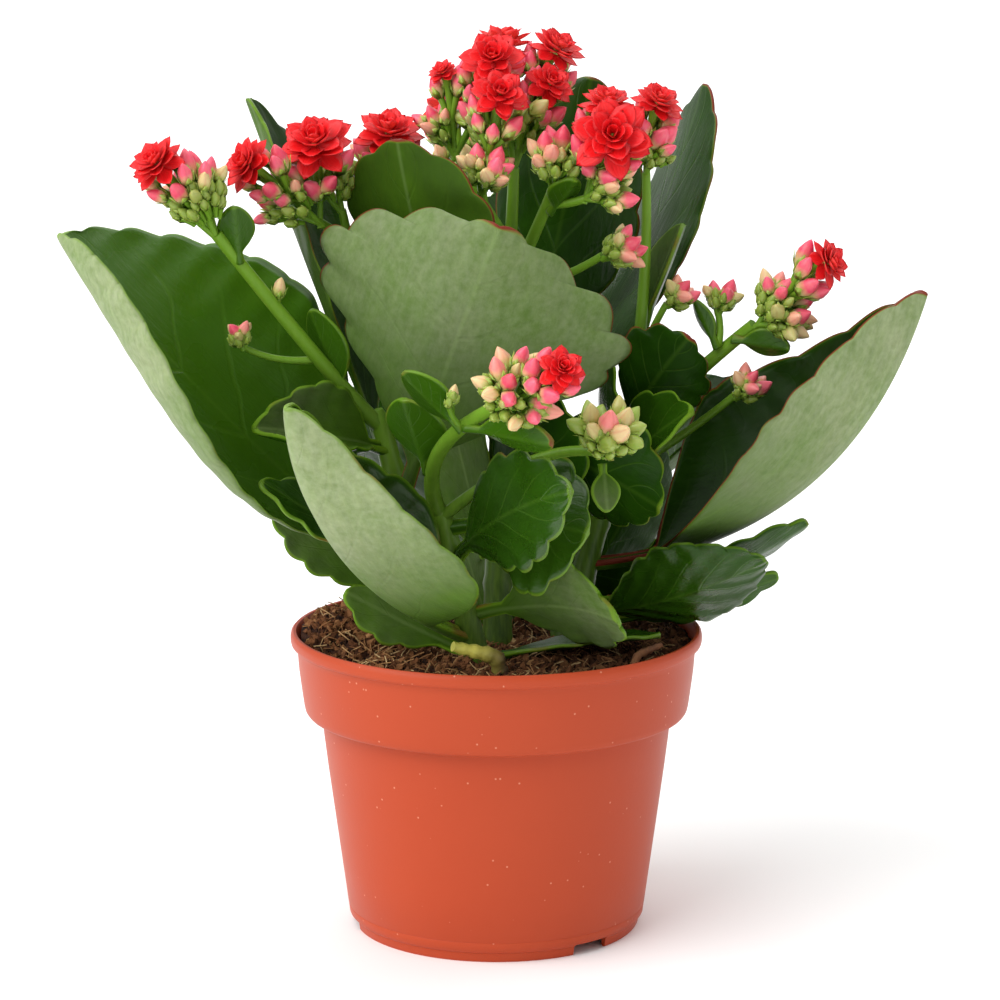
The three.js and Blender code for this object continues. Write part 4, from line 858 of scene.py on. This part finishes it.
# stems: start, middle, end, and thickness at both ends. clusters, the knots of buds: where the knot
# forks, its crown, how wide it spreads in degrees, how many buds it has and how thick they are.
# bracts: root, tip, width, roll and fold. blooms: centre, radius, and the way it faces.
HEADS = {
    "left": dict(
        stems=(((-34, -9, 150), (-42, -14, 158), (-77, -34, 207), 2.5, 1.8),
            ((-49, -18, 170), (-62, -18, 168), (-71, -22, 174), 1.2, 0.9)),
        clusters=(((-77, -34, 206), (-87, -38, 229), 36, 16, 2.3),
            ((-71, -22, 173), (-73, -24, 182), 42, 5, 1.6),
            ((-61, -25, 187), (-60, -26, 195), 10, 1, 2.0)),
        bracts=(((-71, -31, 199), (-72, -36, 215), 11, 20, 18),
            ((-42, -15, 159), (-52, -17, 184), 15, 40, 8)),
        blooms=(((-92, -42, 227), 8, (-0.5, -0.6, 0.6)),)),
    "upper_left": dict(
        stems=(((1, 4, 172), (-18, 16, 184), (-42, 6, 200), 2.2, 1.8),
            ((-42, 6, 199), (-46, 2, 204), (-51, -6, 208), 1.6, 1.2),
            ((-42, 6, 199), (-43, 4, 204), (-44, 2, 210), 1.6, 1.2),
            ((-20, 10, 186), (-28, 12, 196), (-32, 11, 212), 1.6, 1.2)),
        clusters=(((-50, -6, 207), (-67, -16, 219), 34, 7, 2.2),
            ((-44, 2, 209), (-50, 0, 229), 38, 9, 2.1), ((-32, 11, 211), (-34, 10, 236), 36, 9, 2.3)),
        bracts=(),
        blooms=(((-69, -20, 225), 8, (-0.7, -0.6, 0.4)), ((-51, -7, 229), 11, (-0.1, -0.8, 0.6)),
            ((-31, 5, 231), 10, (0.1, -0.5, 0.85)))),
    "centre": dict(
        stems=(((2, 6, 178), (4, 4, 190), (5, 2, 222), 2.2, 1.6),
            ((3, 5, 186), (-2, -4, 200), (-4, -16, 217), 1.6, 1.4),
            ((3, 5, 186), (8, 0, 196), (16, -12, 217), 2.0, 1.6),
            ((15, -10, 213), (20, -14, 213), (25, -16, 215), 1.4, 1.2),
            ((4, 3, 188), (16, 0, 188), (30, -8, 198), 1.4, 1.1),
            ((4, 4, 200), (-4, 6, 212), (-12, 6, 226), 1.4, 1.1)),
        clusters=(((5, 2, 221), (2, 2, 252), 44, 22, 2.4), ((-12, 6, 225), (-20, 6, 241), 30, 6, 1.9),
            ((-4, -16, 216), (-1, -21, 231), 46, 11, 2.2), ((16, -12, 216), (18, -19, 236), 36, 10, 2.3),
            ((25, -16, 215), (40, -24, 221), 38, 8, 2.1), ((30, -8, 197), (42, -14, 204), 40, 8, 2.1)),
        bracts=(((15, -10, 211), (22, -20, 221), 10, -10, 14),),
        blooms=(((-1, -6, 253), 9, (-0.2, -0.85, 0.5)), ((2, 8, 256), 9, (-0.1, 0.2, 0.95)),
            ((17, 6, 255), 8, (0.5, -0.5, 0.7)), ((1, -18, 244), 8, (0.1, -0.95, 0.3)),
            ((15, -4, 246), 7, (0.4, -0.8, 0.45)), ((-15, 0, 249), 4.5, (-0.5, -0.5, 0.7)),
            ((32, -26, 233), 11.5, (-0.1, -0.97, 0.2)), ((31, -14, 241), 8, (0.1, -0.4, 0.9)))),
    "upper_right": dict(
        stems=(((39, 6, 150), (44, 8, 188), (43, 8, 220), 2.2, 1.3),
            ((41, 7, 164), (43, 5, 172), (49, 3, 183), 1.2, 1.0)),
        clusters=(((43, 8, 219), (47, 6, 234), 44, 7, 2.1), ((49, 3, 182), (57, 1, 190), 46, 6, 2.0)),
        bracts=(((42, 8.4, 175), (54, 11, 205), 17, 10, 28),),
        blooms=(((46, 5, 240), 7.5, (0.4, -0.5, 0.75)),)),
    "right": dict(
        stems=(((37, 6, 141), (54, 15, 158), (74, 1, 177), 2.4, 1.9),
            ((64, 4, 171), (65, 5, 175), (64, 6, 180), 1.2, 1.0)),
        clusters=(((75, 0, 177), (90, -4, 188), 56, 16, 2.3), ((64, 6, 179), (66, 6, 190), 46, 7, 1.9)),
        bracts=(((68, 2, 173), (84, -4, 171), 10, -60, 16), ((64, 4, 170), (57, 4, 184), 6, 60, 20)),
        blooms=(((94, -8, 196), 7, (0.8, -0.55, 0.2)),)),
    "right_low": dict(
        stems=(((35, 5, 133), (50, 14, 138), (69, 4, 156), 1.6, 1.2),),
        clusters=(((69, 4, 155), (77, 0, 164), 46, 6, 2.0),),
        bracts=(),
        blooms=()),
    "front": dict(
        stems=(((-16, -34, 129), (-24, -44, 150), (2, -72, 166), 2.4, 1.8),
            ((-9, -60, 157), (-12, -62, 160), (-13, -65, 165), 0.9, 0.7)),
        clusters=(((2, -72, 165), (11, -85, 176), 62, 15, 2.4),
            ((-13, -65, 164), (-10, -67, 170), 26, 2, 1.7)),
        bracts=(((-8, -61, 158), (15, -82, 157), 13, -60, 20),
            ((-9, -60, 157), (-25, -62, 173), 15, 40, 10), ((-19, -41, 142), (-25, -52, 164), 20, 0, 11)),
        blooms=(((17, -90, 178), 6.5, (0.1, -0.8, 0.6)),)),
    "front_cream": dict(ripe=0.62,
        stems=(((-16, -34, 127), (12, -44, 152), (29, -58, 150), 1.8, 1.4),),
        clusters=(((29, -58, 149), (32, -67, 165), 50, 13, 2.5),),
        bracts=(((29, -57, 147), (30, -60, 134), 9, 0, 10),),
        blooms=()),
    "back": dict(
        stems=(((8, 38, 160), (4, 44, 180), (-8, 48, 208), 2.2, 1.6),),
        clusters=(((-8, 48, 207), (-12, 52, 230), 44, 12, 2.2),),
        bracts=(((-6, 47, 203), (-22, 56, 212), 10, 20, 16),),
        blooms=(((-14, 56, 234), 9, (-0.2, 0.8, 0.6)),)),
}

BUDS_PER_BRANCH = 4
GOLDEN_ANGLE = 2.39996  # radians
BUD_LENGTH = 3.4  # in bud radii
BUD_SIDES = 8
BUD_PROFILE = [(0.5, 0.08), (0.86, 0.7), (1.02, 1.4), (0.94, 2.05), (0.62, 2.7), (0.24, 3.2)]
BUDS_ROUND_BLOOM = 7
BUDS_ROUND_SMALL_BLOOM = 4
SMALL_BLOOM = 6  # the largest radius of one
PLUMPNESS = 1.04  # ripe buds swell a little
RIPEST = 1.04  # of a knot's buds, at its crown
RIPEST_OF_FEW = 0.75  # where there are less than five
SEPAL_TIP = 1.95  # how high sepals reach, in bud radii


def draw(i, k):
    """A number from 0 to 1 that looks random and is always the same for the same i and k."""
    s = math.sin(i * 12.9898 + k * 78.233) * 43758.5453
    return s - math.floor(s)


def frame_about(axis, hint):
    """Two directions at right angles to the axis and to each other."""
    across = unit(np.cross(hint, axis))
    return across, np.cross(axis, across)


def near_line(point, start, end):
    """How far a point is from the line between start and end."""
    t = np.clip((point - start) @ (end - start) / ((end - start) @ (end - start)), 0, 1)
    return np.linalg.norm(start + t * (end - start) - point)


def knot_frame(fork, crown):
    """Where a knot starts, how far it reaches, and its directions by angle from and around its axis."""
    start, crown = np.array(fork, float), np.array(crown, float)
    reach = np.linalg.norm(crown - start)
    axis = (crown - start) / reach
    across, other = frame_about(axis, np.array([0.3, 0.2, 0.93]))

    def aim(polar, around):
        flat = across * math.cos(around) + other * math.sin(around)
        return axis * math.cos(polar) + flat * math.sin(polar)

    return start, reach, aim


def cluster_form(cluster, blooms, seed):
    """Branches (start, end) and buds (node, tip, radius, fan) of one knot of buds."""
    fork, crown, spread, count, size = cluster
    start, reach, aim = knot_frame(fork, crown)
    branches = max(1, math.floor(count / BUDS_PER_BRANCH + 0.5))
    nodes = []
    for k in range(branches):
        polar = math.radians(spread * 0.72) * math.sqrt((k + 0.5) / branches) if branches > 1 else 0.0
        nodes.append(start + aim(polar, k * GOLDEN_ANGLE + seed) * reach * 0.42)
    buds = []
    for i in range(count):
        fan = math.sqrt((i + 0.5) / count)
        polar = math.radians(spread * fan * (0.94 + 0.12 * draw(i, seed)))
        length = reach * (1.04 - 0.16 * fan ** 2 - 0.12 * draw(i, seed + 1))
        tip = start + aim(polar, i * GOLDEN_ANGLE + seed) * length
        girth = size * (1.15 - 0.3 * fan) * (0.85 + 0.3 * draw(i, seed + 2))
        node = min(nodes, key=lambda at: np.linalg.norm(at - tip))
        if all(near_line(at, node, tip) >= radius * 0.92 + girth for at, radius, _ in blooms):
            buds.append((node, tip, girth, fan))
    used = [node for node in nodes if any(bud[0] is node for bud in buds)]
    return [(start, node) for node in used], buds


def small_buds(cluster, blooms, seed):
    """Young buds that fill the gaps lower in a knot, each on a short stalk of its own."""
    fork, crown, spread, count, size = cluster
    start, reach, aim = knot_frame(fork, crown)
    buds = []
    for i in range(count * 2):
        fan = math.sqrt((i + 0.5) / (count * 2))
        out = aim(math.radians(spread) * (0.25 + 0.78 * fan), i * GOLDEN_ANGLE + seed + 1.3)
        length = reach * (0.86 - 0.22 * fan ** 2 - 0.16 * draw(i, seed + 5))
        tip = start + out * length
        girth = size * (0.74 - 0.14 * fan) * (0.8 + 0.4 * draw(i, seed + 6))
        if all(np.linalg.norm(at - tip) >= radius * 0.8 + girth for at, radius, _ in blooms):
            buds.append((start + out * length * 0.45, tip, girth, 0.9 + 0.8 * fan))
    return buds


def bezier(start, via, end, count):
    """Points along a curve that leaves start and reaches end as if drawn towards via."""
    t = np.linspace(0, 1, count)[:, None]
    return (1 - t) ** 2 * np.array(start) + 2 * t * (1 - t) * np.array(via) + t ** 2 * np.array(end)


def bloom_seat(head, bloom):
    """A bloom's centre, the way it faces, and both ends of its stalk, the upper one first."""
    centre, radius, facing = bloom
    forks = [np.array(cluster[0], float) for cluster in head["clusters"]]
    rising = unit(centre - min(forks, key=lambda at: np.linalg.norm(at - centre)))
    axis = unit(0.45 * rising + unit(np.array(facing)))
    end = centre - axis * (radius * 0.28 + 0.3)
    fork = min(forks, key=lambda at: np.linalg.norm(at - end))
    return np.array(centre, float), axis, end, fork - rising * 1.5


# Skin of buds: green where they are young, cream, then pink as they ripen, always paler at the foot
bud_skin, tree, shader, place = new_material("bud_skin")
ripe, up, sepal, seam = carried_values(tree, "ripe", "up", "sepal", "seam")
rosy = ramp(ripe, 0.42, 0.6)
petal_top = blend_colour(rosy, srgb(222, 194, 138), srgb(244, 84, 120))
petal_tip = blend_colour(ramp(ripe, 0.7, 1.0), petal_top, srgb(226, 38, 90))
petal_foot = blend_colour(rosy, srgb(176, 190, 84), srgb(214, 196, 132))
petals = blend_colour(ramp(up, 0.3, 0.62), petal_foot, petal_tip)
seamed = blend_colour(ramp(seam, 0.6, 1.0, 0.0, 0.3), petals, srgb(200, 52, 80))
young = blend_colour(ramp(ripe, 0.08, 0.35), srgb(126, 158, 40), seamed)
sepals = blend_colour(ramp(up, 0.0, 0.9), srgb(84, 134, 14), srgb(152, 186, 48))
bud_colour = blend_colour(sepal, young, sepals)
bud_other = blend_colour(0.16, bud_colour, srgb(250, 214, 176))
feed(shader, {
    "Base Color": mottled(place, bud_colour, bud_other, 500.0, 2.0, 1.6)[0], "Roughness": 0.38,
    **translucent(0.15, (1.0, 0.4, 0.3), 0.0015),
})


def sepal_form(angle, first):
    """One sepal at an angle around a bud: its spots, and its faces counted from the first spot."""
    a, b, c, d, tip, middle = range(first, first + 6)
    spots = []
    for radius, height, aside in ((0.45, -0.1, -0.6), (0.45, -0.1, 0.6), (1.08, 0.8, -0.56),
                                  (1.08, 0.8, 0.56), (1.24, SEPAL_TIP, 0.0)):
        point = (radius * math.cos(angle + aside), radius * math.sin(angle + aside), height)
        spots.append((point, height / SEPAL_TIP, 1.0, 0.0))
    spots.append(((0.72 * math.cos(angle), 0.72 * math.sin(angle), 0.72), 0.5, 1.0, 0.0))
    return spots, [(a, b, d, c), (c, d, tip), (a, middle, b), (a, c, middle), (b, middle, d),
                   (c, tip, middle), (d, middle, tip)]


def bud_pattern():
    """One bud of radius 1 and its four sepals, standing on its foot, with the skin's values."""
    spots, faces = [], []  # each spot: the point, how far up it is, whether on a sepal, or in a seam
    for radius, height in BUD_PROFILE:
        for k in range(BUD_SIDES):
            angle = 2 * math.pi * k / BUD_SIDES + 0.7 * height / BUD_LENGTH
            ribbed = radius * (1.0 if k % 2 else 0.9)
            point = (ribbed * math.cos(angle), ribbed * math.sin(angle), height)
            spots.append((point, height / BUD_LENGTH, 0.0, 0.0 if k % 2 else 1.0))
    last, foot = len(spots) - BUD_SIDES, len(spots)
    spots += [((0, 0, 0), 0.0, 0.0, 0.0), ((0, 0, BUD_LENGTH), 1.0, 0.0, 0.0)]
    for ring in range(0, last, BUD_SIDES):
        for k in range(BUD_SIDES):
            a, b = ring + k, ring + (k + 1) % BUD_SIDES
            faces.append((a, b, b + BUD_SIDES, a + BUD_SIDES))
    for k in range(BUD_SIDES):
        faces += [(foot, (k + 1) % BUD_SIDES, k), (last + k, last + (k + 1) % BUD_SIDES, foot + 1)]
    for quarter in range(4):
        more, more_faces = sepal_form(math.pi / 2 * quarter + 0.4, len(spots))
        spots += more
        faces += more_faces
    points, up, sepal, seam = zip(*spots)
    return outside_scene("bud_pattern", points, [], faces, {"up": up, "sepal": sepal, "seam": seam})


def set_out(tree, sockets, end, rotation, scale):
    """End a tree with its pattern set out at each of its points, turned and sized."""
    pattern = put(tree, "GeometryNodeObjectInfo", {"Object": sockets["Pattern"]}, "Geometry")
    copies = put(tree, "GeometryNodeInstanceOnPoints", {
        "Points": sockets["Points"], "Instance": pattern, "Rotation": rotation, "Scale": scale,
    })
    end_tree(tree, copies, sockets["Material"], end)


# One bud at each point: aimed, turned and sized by the point's own values
SET_OUT_INPUTS = {"Points": "Geometry", "Pattern": "Object", "Material": "Material"}
BUDS, buds_in, buds_out = group_tree("buds", "GeometryNodeTree", SET_OUT_INPUTS, {"Buds": "Geometry"})
aim_at = named_value(BUDS, "aim", "FLOAT_VECTOR")
aimed = put(BUDS, "FunctionNodeAlignRotationToVector", {"Vector": aim_at}, axis="Z", pivot_axis="AUTO")
spin_about = put(BUDS, "ShaderNodeCombineXYZ", {2: named_value(BUDS, "spin")})
spun = put(BUDS, "FunctionNodeEulerToRotation", {0: spin_about})
turned = put(BUDS, "FunctionNodeRotateRotation", {"Rotation": aimed, "Rotate By": spun},
             rotation_space="LOCAL")
set_out(BUDS, buds_in, buds_out, turned, named_value(BUDS, "girth"))


def grow_at(name, places_mm, values, tree, pattern, material):
    """A plain mesh of a pattern that a tree sets out at places, by the values they carry."""
    source = outside_scene("places", np.array(places_mm) / 1000, [], [], values)
    made = run_tree(name, source, tree, {"Pattern": pattern, "Material": material})
    bpy.data.objects.remove(source)
    return made


def bud_on_stalk(node, tip, girth, lift, thickness, ripe, spin):
    """The path of a bud's stalk, which lifts it a little, and the bud as a row for BUDS."""
    along = unit(tip - node)
    foot = tip - along * girth * BUD_LENGTH
    path = bezier(node, (node + foot) / 2 + [0, 0, lift], foot + along * 0.3, 5)
    return (path, np.linspace(*thickness, 5)), (foot, along, girth / 1000, ripe, spin)


def cluster_buds(head, cluster, seed):
    """Branches of one knot as paths, and its buds, each with its stalk."""
    branches, buds = cluster_form(cluster, head["blooms"], seed)
    young_ones = small_buds(cluster, head["blooms"], seed)
    plump = [(node, tip, girth * PLUMPNESS, fan) for node, tip, girth, fan in buds]
    ripest = head.get("ripe", RIPEST_OF_FEW if cluster[3] < 5 else RIPEST)
    grown = []
    for i, (node, tip, girth, fan) in enumerate(plump + young_ones):
        ripe = min(1.0, max(0.0, ripest - 1.0 * fan + 0.42 * draw(i, seed + 9)))
        spin = 6.28 * draw(i, seed + 4)
        grown.append(bud_on_stalk(node, tip, girth, 0.4, (0.55, 0.95), ripe, spin))
    return [(np.linspace(start, node, 5), np.linspace(0.95, 0.8, 5)) for start, node in branches], grown


def bloom_buds(head, bloom, h):
    """A bloom's stalk and calyx, and the ripe buds around it that no other bloom covers."""
    centre, axis, end, fork = bloom_seat(head, bloom)
    radius = bloom[1]
    stalk = (bezier(fork, end - axis * radius * 0.7, end, 12), np.linspace(0.8, 1.3, 12))
    grown = [(stalk, (end - axis * radius * 0.12, axis, radius * 0.19 / 1000, 0.0, 0.4))]
    beside, upward = frame_about(axis, np.array([0.1, 0.2, 0.97]))
    others = [other for other in head["blooms"] if other is not bloom]
    node = fork + (end - fork) * 0.45
    for k in range(BUDS_ROUND_BLOOM if radius > SMALL_BLOOM else BUDS_ROUND_SMALL_BLOOM):
        around = 2 * math.pi * (k + 0.5 * draw(k, h + radius)) / BUDS_ROUND_BLOOM
        out = beside * math.cos(around) + upward * math.sin(around)
        girth = 2.4 * (0.8 + 0.4 * draw(k, radius))
        tip = centre + out * (radius * 0.72 + girth) - axis * radius * (0.15 + 0.3 * draw(k, h))
        if all(np.linalg.norm(other[0] - tip) >= other[1] * 0.8 for other in others):
            ripe = 0.75 + 0.25 * draw(k, h + 3)
            grown.append(bud_on_stalk(node, tip, girth, 0.0, (0.6, 1.0), ripe, 1.3 * k))
    return grown


bud = bud_pattern()
for h, (name, head) in enumerate(HEADS.items()):
    paths = [(bezier(start, via, end, 22), np.linspace(thick, thin, 22))
             for start, via, end, thick, thin in head["stems"]]
    rows = []
    for c, cluster in enumerate(head["clusters"]):
        branches, grown = cluster_buds(head, cluster, (h + 1) * 10 + c)
        paths += branches + [path for path, _ in grown]
        rows += [row for _, row in grown]
    for bloom in head["blooms"]:
        grown = bloom_buds(head, bloom, h)
        paths += [path for path, _ in grown]
        rows += [row for _, row in grown]
    hand_over(stalk_piece("stalks_" + name, paths, 8, stem_skin), "head", "head_" + name)
    places, *values = zip(*rows)
    values = dict(zip(("aim", "girth", "ripe", "spin"), values))
    hand_over(grow_at("buds_" + name, places, values, BUDS, bud, bud_skin), "head", "head_" + name)
    bracts = [dict(zip(("root", "tip", "width", "roll", "fold"), bract), peak=0.5, stalk=1.2, turned=True,
                   tone=0.5, dull=0.5) for bract in head["bracts"]]
    if bracts:
        hand_over(leaf_piece("bracts_" + name, bracts), "head", "head_" + name)
bpy.data.objects.remove(bud)

# ==== Blooms ====
# Double flowers of many small pointed petals in layers: flat and wide open outside, cupped and
# crowded towards the middle. Bright red above, softer salmon red beneath.

PETAL_LAYERS = [  # petals, lift from flat in degrees, length and width in bloom radii, step up the core
    (6, -8, 1.04, 0.66, -0.08), (6, 12, 1.00, 0.66, 0.00), (6, 26, 0.88, 0.62, 0.06),
    (5, 42, 0.72, 0.54, 0.10), (5, 58, 0.56, 0.44, 0.14), (4, 74, 0.40, 0.34, 0.16),
]
PETAL_ROWS = 7
PETAL_COLUMNS = 5
PETAL_HALF_THICKNESS = 0.018  # in petal lengths

# Skin of petals: saturated red, darkened towards the heart as painted shade, paler on the back, finely veined
# lengthwise
petal_skin, tree, shader, place = new_material("petal_skin")
out, beside, back, shade = carried_values(tree, "out", "beside", "back", "shade")
# Painted shade: each petal's red darkens towards its foot, where the petals crowd the heart
front = blend_colour(ramp(out, 0.0, 0.7), srgb(176, 2, 8), srgb(240, 12, 16))
varied = blend_colour(shade, front, srgb(244, 24, 38))
backs = blend_colour(ramp(out, 0.0, 0.9), srgb(232, 128, 100), srgb(222, 50, 48))
sides = blend_colour(back, varied, backs)
fine_vein = maths("SINE", maths("MULTIPLY", beside, 22.0))
veined = blend_colour(ramp(fine_vein, 0.6, 1.0, 0.0, 0.1), sides, srgb(150, 8, 16))
petal_other = blend_colour(0.3, veined, srgb(236, 40, 46))
feed(shader, {
    "Base Color": mottled(place, veined, petal_other, 300.0, 3.0, 1.4)[0], "Roughness": 0.5,
    "Normal": bump(0.15, 0.0002, fine_vein), **translucent(0.12, (1.0, 0.2, 0.15), 0.0015),
})


def petal_pattern():
    """A petal of length and width 1 along X, cupped upwards, closed and thin."""
    points, faces, values = [], [], {"out": [], "beside": [], "back": []}
    for side in (1, -1):
        for i in range(PETAL_ROWS):
            m = i / (PETAL_ROWS - 1)
            half = 0.5 * max(0.24 * (1 - m), math.sin(math.pi * m ** 1.15) ** 0.9)
            for j in range(PETAL_COLUMNS):
                s = -1 + 2 * j / (PETAL_COLUMNS - 1)
                cup = 0.14 * s * s * half * 2 - 0.08 * math.sin(math.pi * m) + 0.03 * (abs(s) < 0.1)
                rim = abs(s) > 0.99 or i in (0, PETAL_ROWS - 1)
                points.append((m, s * half, cup + side * (0.0 if rim else PETAL_HALF_THICKNESS)))
                values["out"].append(m)
                values["beside"].append(s)
                values["back"].append(0.0 if side > 0 or rim else 1.0)
    layer = PETAL_ROWS * PETAL_COLUMNS
    for i in range(PETAL_ROWS - 1):
        for a in range(i * PETAL_COLUMNS, (i + 1) * PETAL_COLUMNS - 1):
            b, c, d = a + PETAL_COLUMNS, a + PETAL_COLUMNS + 1, a + 1
            faces += [(a, b, c, d), (a + layer, d + layer, c + layer, b + layer)]
    pattern = outside_scene("petal_pattern", points, [], faces, values)
    merged = bmesh.new()
    merged.from_mesh(pattern.data)
    bmesh.ops.remove_doubles(merged, verts=merged.verts, dist=1e-5)
    merged.to_mesh(pattern.data)
    merged.free()
    return pattern


# One petal at each point, turned and sized by the point's own values
PETALS, petals_in, petals_out = group_tree("petals", "GeometryNodeTree", SET_OUT_INPUTS,
                                           {"Petals": "Geometry"})
as_rotation = put(PETALS, "FunctionNodeEulerToRotation", {0: named_value(PETALS, "turn", "FLOAT_VECTOR")})
set_out(PETALS, petals_in, petals_out, as_rotation, named_value(PETALS, "size", "FLOAT_VECTOR"))


def petal_row(centre, axis, radius, seed, k, n):
    """The petal of layer k that is number n in it: its place, turn, size and shade."""
    count, lift, length, width, step = PETAL_LAYERS[k]
    across, other = frame_about(axis, np.array([0.2, 0.9, 0.35]))
    around = 2 * math.pi * (n + 0.3 * draw(n, seed + k)) / count + 1.1 * k + seed
    rise = math.radians(lift + 14 * (draw(n, seed + k + 3) - 0.5))
    out = across * math.cos(around) + other * math.sin(around)
    along = out * math.cos(rise) + axis * math.sin(rise)
    upward = axis * math.cos(rise) - out * math.sin(rise)
    turn = Matrix(np.stack([along, np.cross(upward, along), upward], 1).tolist()).to_euler()
    grown = (0.9 + 0.16 * draw(n, seed + k + 7)) * radius / 1000
    return (centre + axis * radius * step + out * radius * 0.03, tuple(turn),
            (length * grown, width * grown, length * grown), 0.5 * draw(n, seed + k + 11))


petal = petal_pattern()
for h, (head_name, head) in enumerate(HEADS.items()):
    for i, bloom in enumerate(head["blooms"]):
        centre, axis, _, _ = bloom_seat(head, bloom)
        rows = [petal_row(centre, axis, bloom[1], (h + 1) * 7 + i, k, n)
                for k, layer in enumerate(PETAL_LAYERS) for n in range(layer[0])]
        places, *values = zip(*rows)
        name = "%s_%d" % (head_name, i + 1)
        values = dict(zip(("turn", "size", "shade"), values))
        flower = grow_at("petals_" + name, places, values, PETALS, petal, petal_skin)
        hand_over(flower, "bloom", "bloom_" + name)
bpy.data.objects.remove(petal)

# ==== Loose bits on the soil ====
# A bit of brown root and an old leaf stalk, yellowed and dying back to brown, stick out of the soil.

BIT_STATIONS = 24  # along each path
BIT_WOBBLE = 0.12  # how uneven they are, as a share of their radius

root_bark, tree, shader, place = new_material("root_bark")
barky, bark_mask = mottled(place, srgb(150, 100, 62), srgb(72, 44, 28), 260.0, 5.0, 2.2)
feed(shader, {"Base Color": barky, "Roughness": 0.8, "Normal": bump(0.6, 0.0006, bark_mask)})

withered_skin, tree, shader, place = new_material("withered_skin")
dying = ramp(put(tree, "ShaderNodeSeparateXYZ", {0: place}, "X"), 0.003, -0.006)
yellowed, wrinkle = mottled(place, srgb(206, 196, 84), srgb(150, 150, 60), 220.0, 4.0, 1.6)
browned = blend_colour(dying, srgb(74, 52, 30), yellowed)
feed(shader, {"Base Color": browned, "Roughness": 0.55, "Normal": bump(0.5, 0.0008, wrinkle)})

LOOSE_BITS = [  # kind, the solid it stands for, skin, and its path and radii in mm
    ("root", "root_twig", root_bark, [(37, -33, 79), (40, -30, 87), (47, -26, 89)], (1.3, 1.2, 0.8)),
    ("withered", "withered_stalk", withered_skin, [(3, -41, 78), (0, -44, 90), (-12, -49, 94)],
     (2.0, 2.4, 1.5)),
]
for kind, node, skin, knots, thick in LOOSE_BITS:
    stations = np.linspace(0, 2, BIT_STATIONS)
    path = np.stack([np.interp(stations, (0, 1, 2), line) for line in zip(*knots)], 1)
    path[1:-1] = (path[:-2] + 2 * path[1:-1] + path[2:]) / 4
    radii = np.interp(stations, (0, 1, 2), thick) * (1 + BIT_WOBBLE * np.sin(np.arange(BIT_STATIONS) * 1.9))
    hand_over(stalk_piece("old_" + kind, [(path, radii)], 12, skin), kind, node)

# ==== Where it stands ====
# A plain white table top that runs on without a seam, under soft studio light from the upper left.

TABLE_HALF = 12000
SOFT_LIGHTS = {  # where it shines from, strength, and how wide it looks in degrees
    "key_left": ((-1.5, -0.95, 1.5), 2.65, 60.0),
    "top_back": ((0.3, 0.9, 1.9), 1.2, 70.0),
}

table_white, tree, shader, _ = new_material("table_white")
feed(shader, {"Base Color": srgb(250, 250, 250), "Roughness": 0.8, "Specular IOR Level": 0.1})
corners = [(x * TABLE_HALF, y * TABLE_HALF, 0) for x, y in ((-1, -1), (1, -1), (1, 1), (-1, 1))]
mesh_piece("table_top", corners, [(0, 1, 2, 3)], table_white, smooth=False)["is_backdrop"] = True

STUDIO = bpy.data.worlds.new("studio_white")
STUDIO.use_nodes = True
feed(STUDIO.node_tree.nodes["Background"], {"Color": (1.0, 1.0, 1.0, 1.0), "Strength": 0.66})
bpy.context.scene.world = STUDIO

for name, (source, strength, width) in SOFT_LIGHTS.items():
    light = bpy.data.lights.new(name, "SUN")
    light.energy = strength
    light.angle = math.radians(width)
    lamp = add_object(name, light)
    lamp.location = source
    lamp.rotation_euler = (-Vector(source)).to_track_quat("-Z", "Y").to_euler()

lens = bpy.data.cameras.new("front_view")
lens.sensor_width = 36.0
lens.lens = 121.07
camera = add_object("front_view", lens)
camera.location = (0.00107, -0.957, 0.310)
camera.rotation_euler = (math.radians(79.114), 0, 0)
bpy.context.scene.camera = camera
bpy.context.scene.view_settings.view_transform = "Standard"

visual_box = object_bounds()
sizes = {"cad": [list(map(float, corner)) for corner in cad_box],
         "visual": [list(map(float, corner)) for corner in visual_box]}
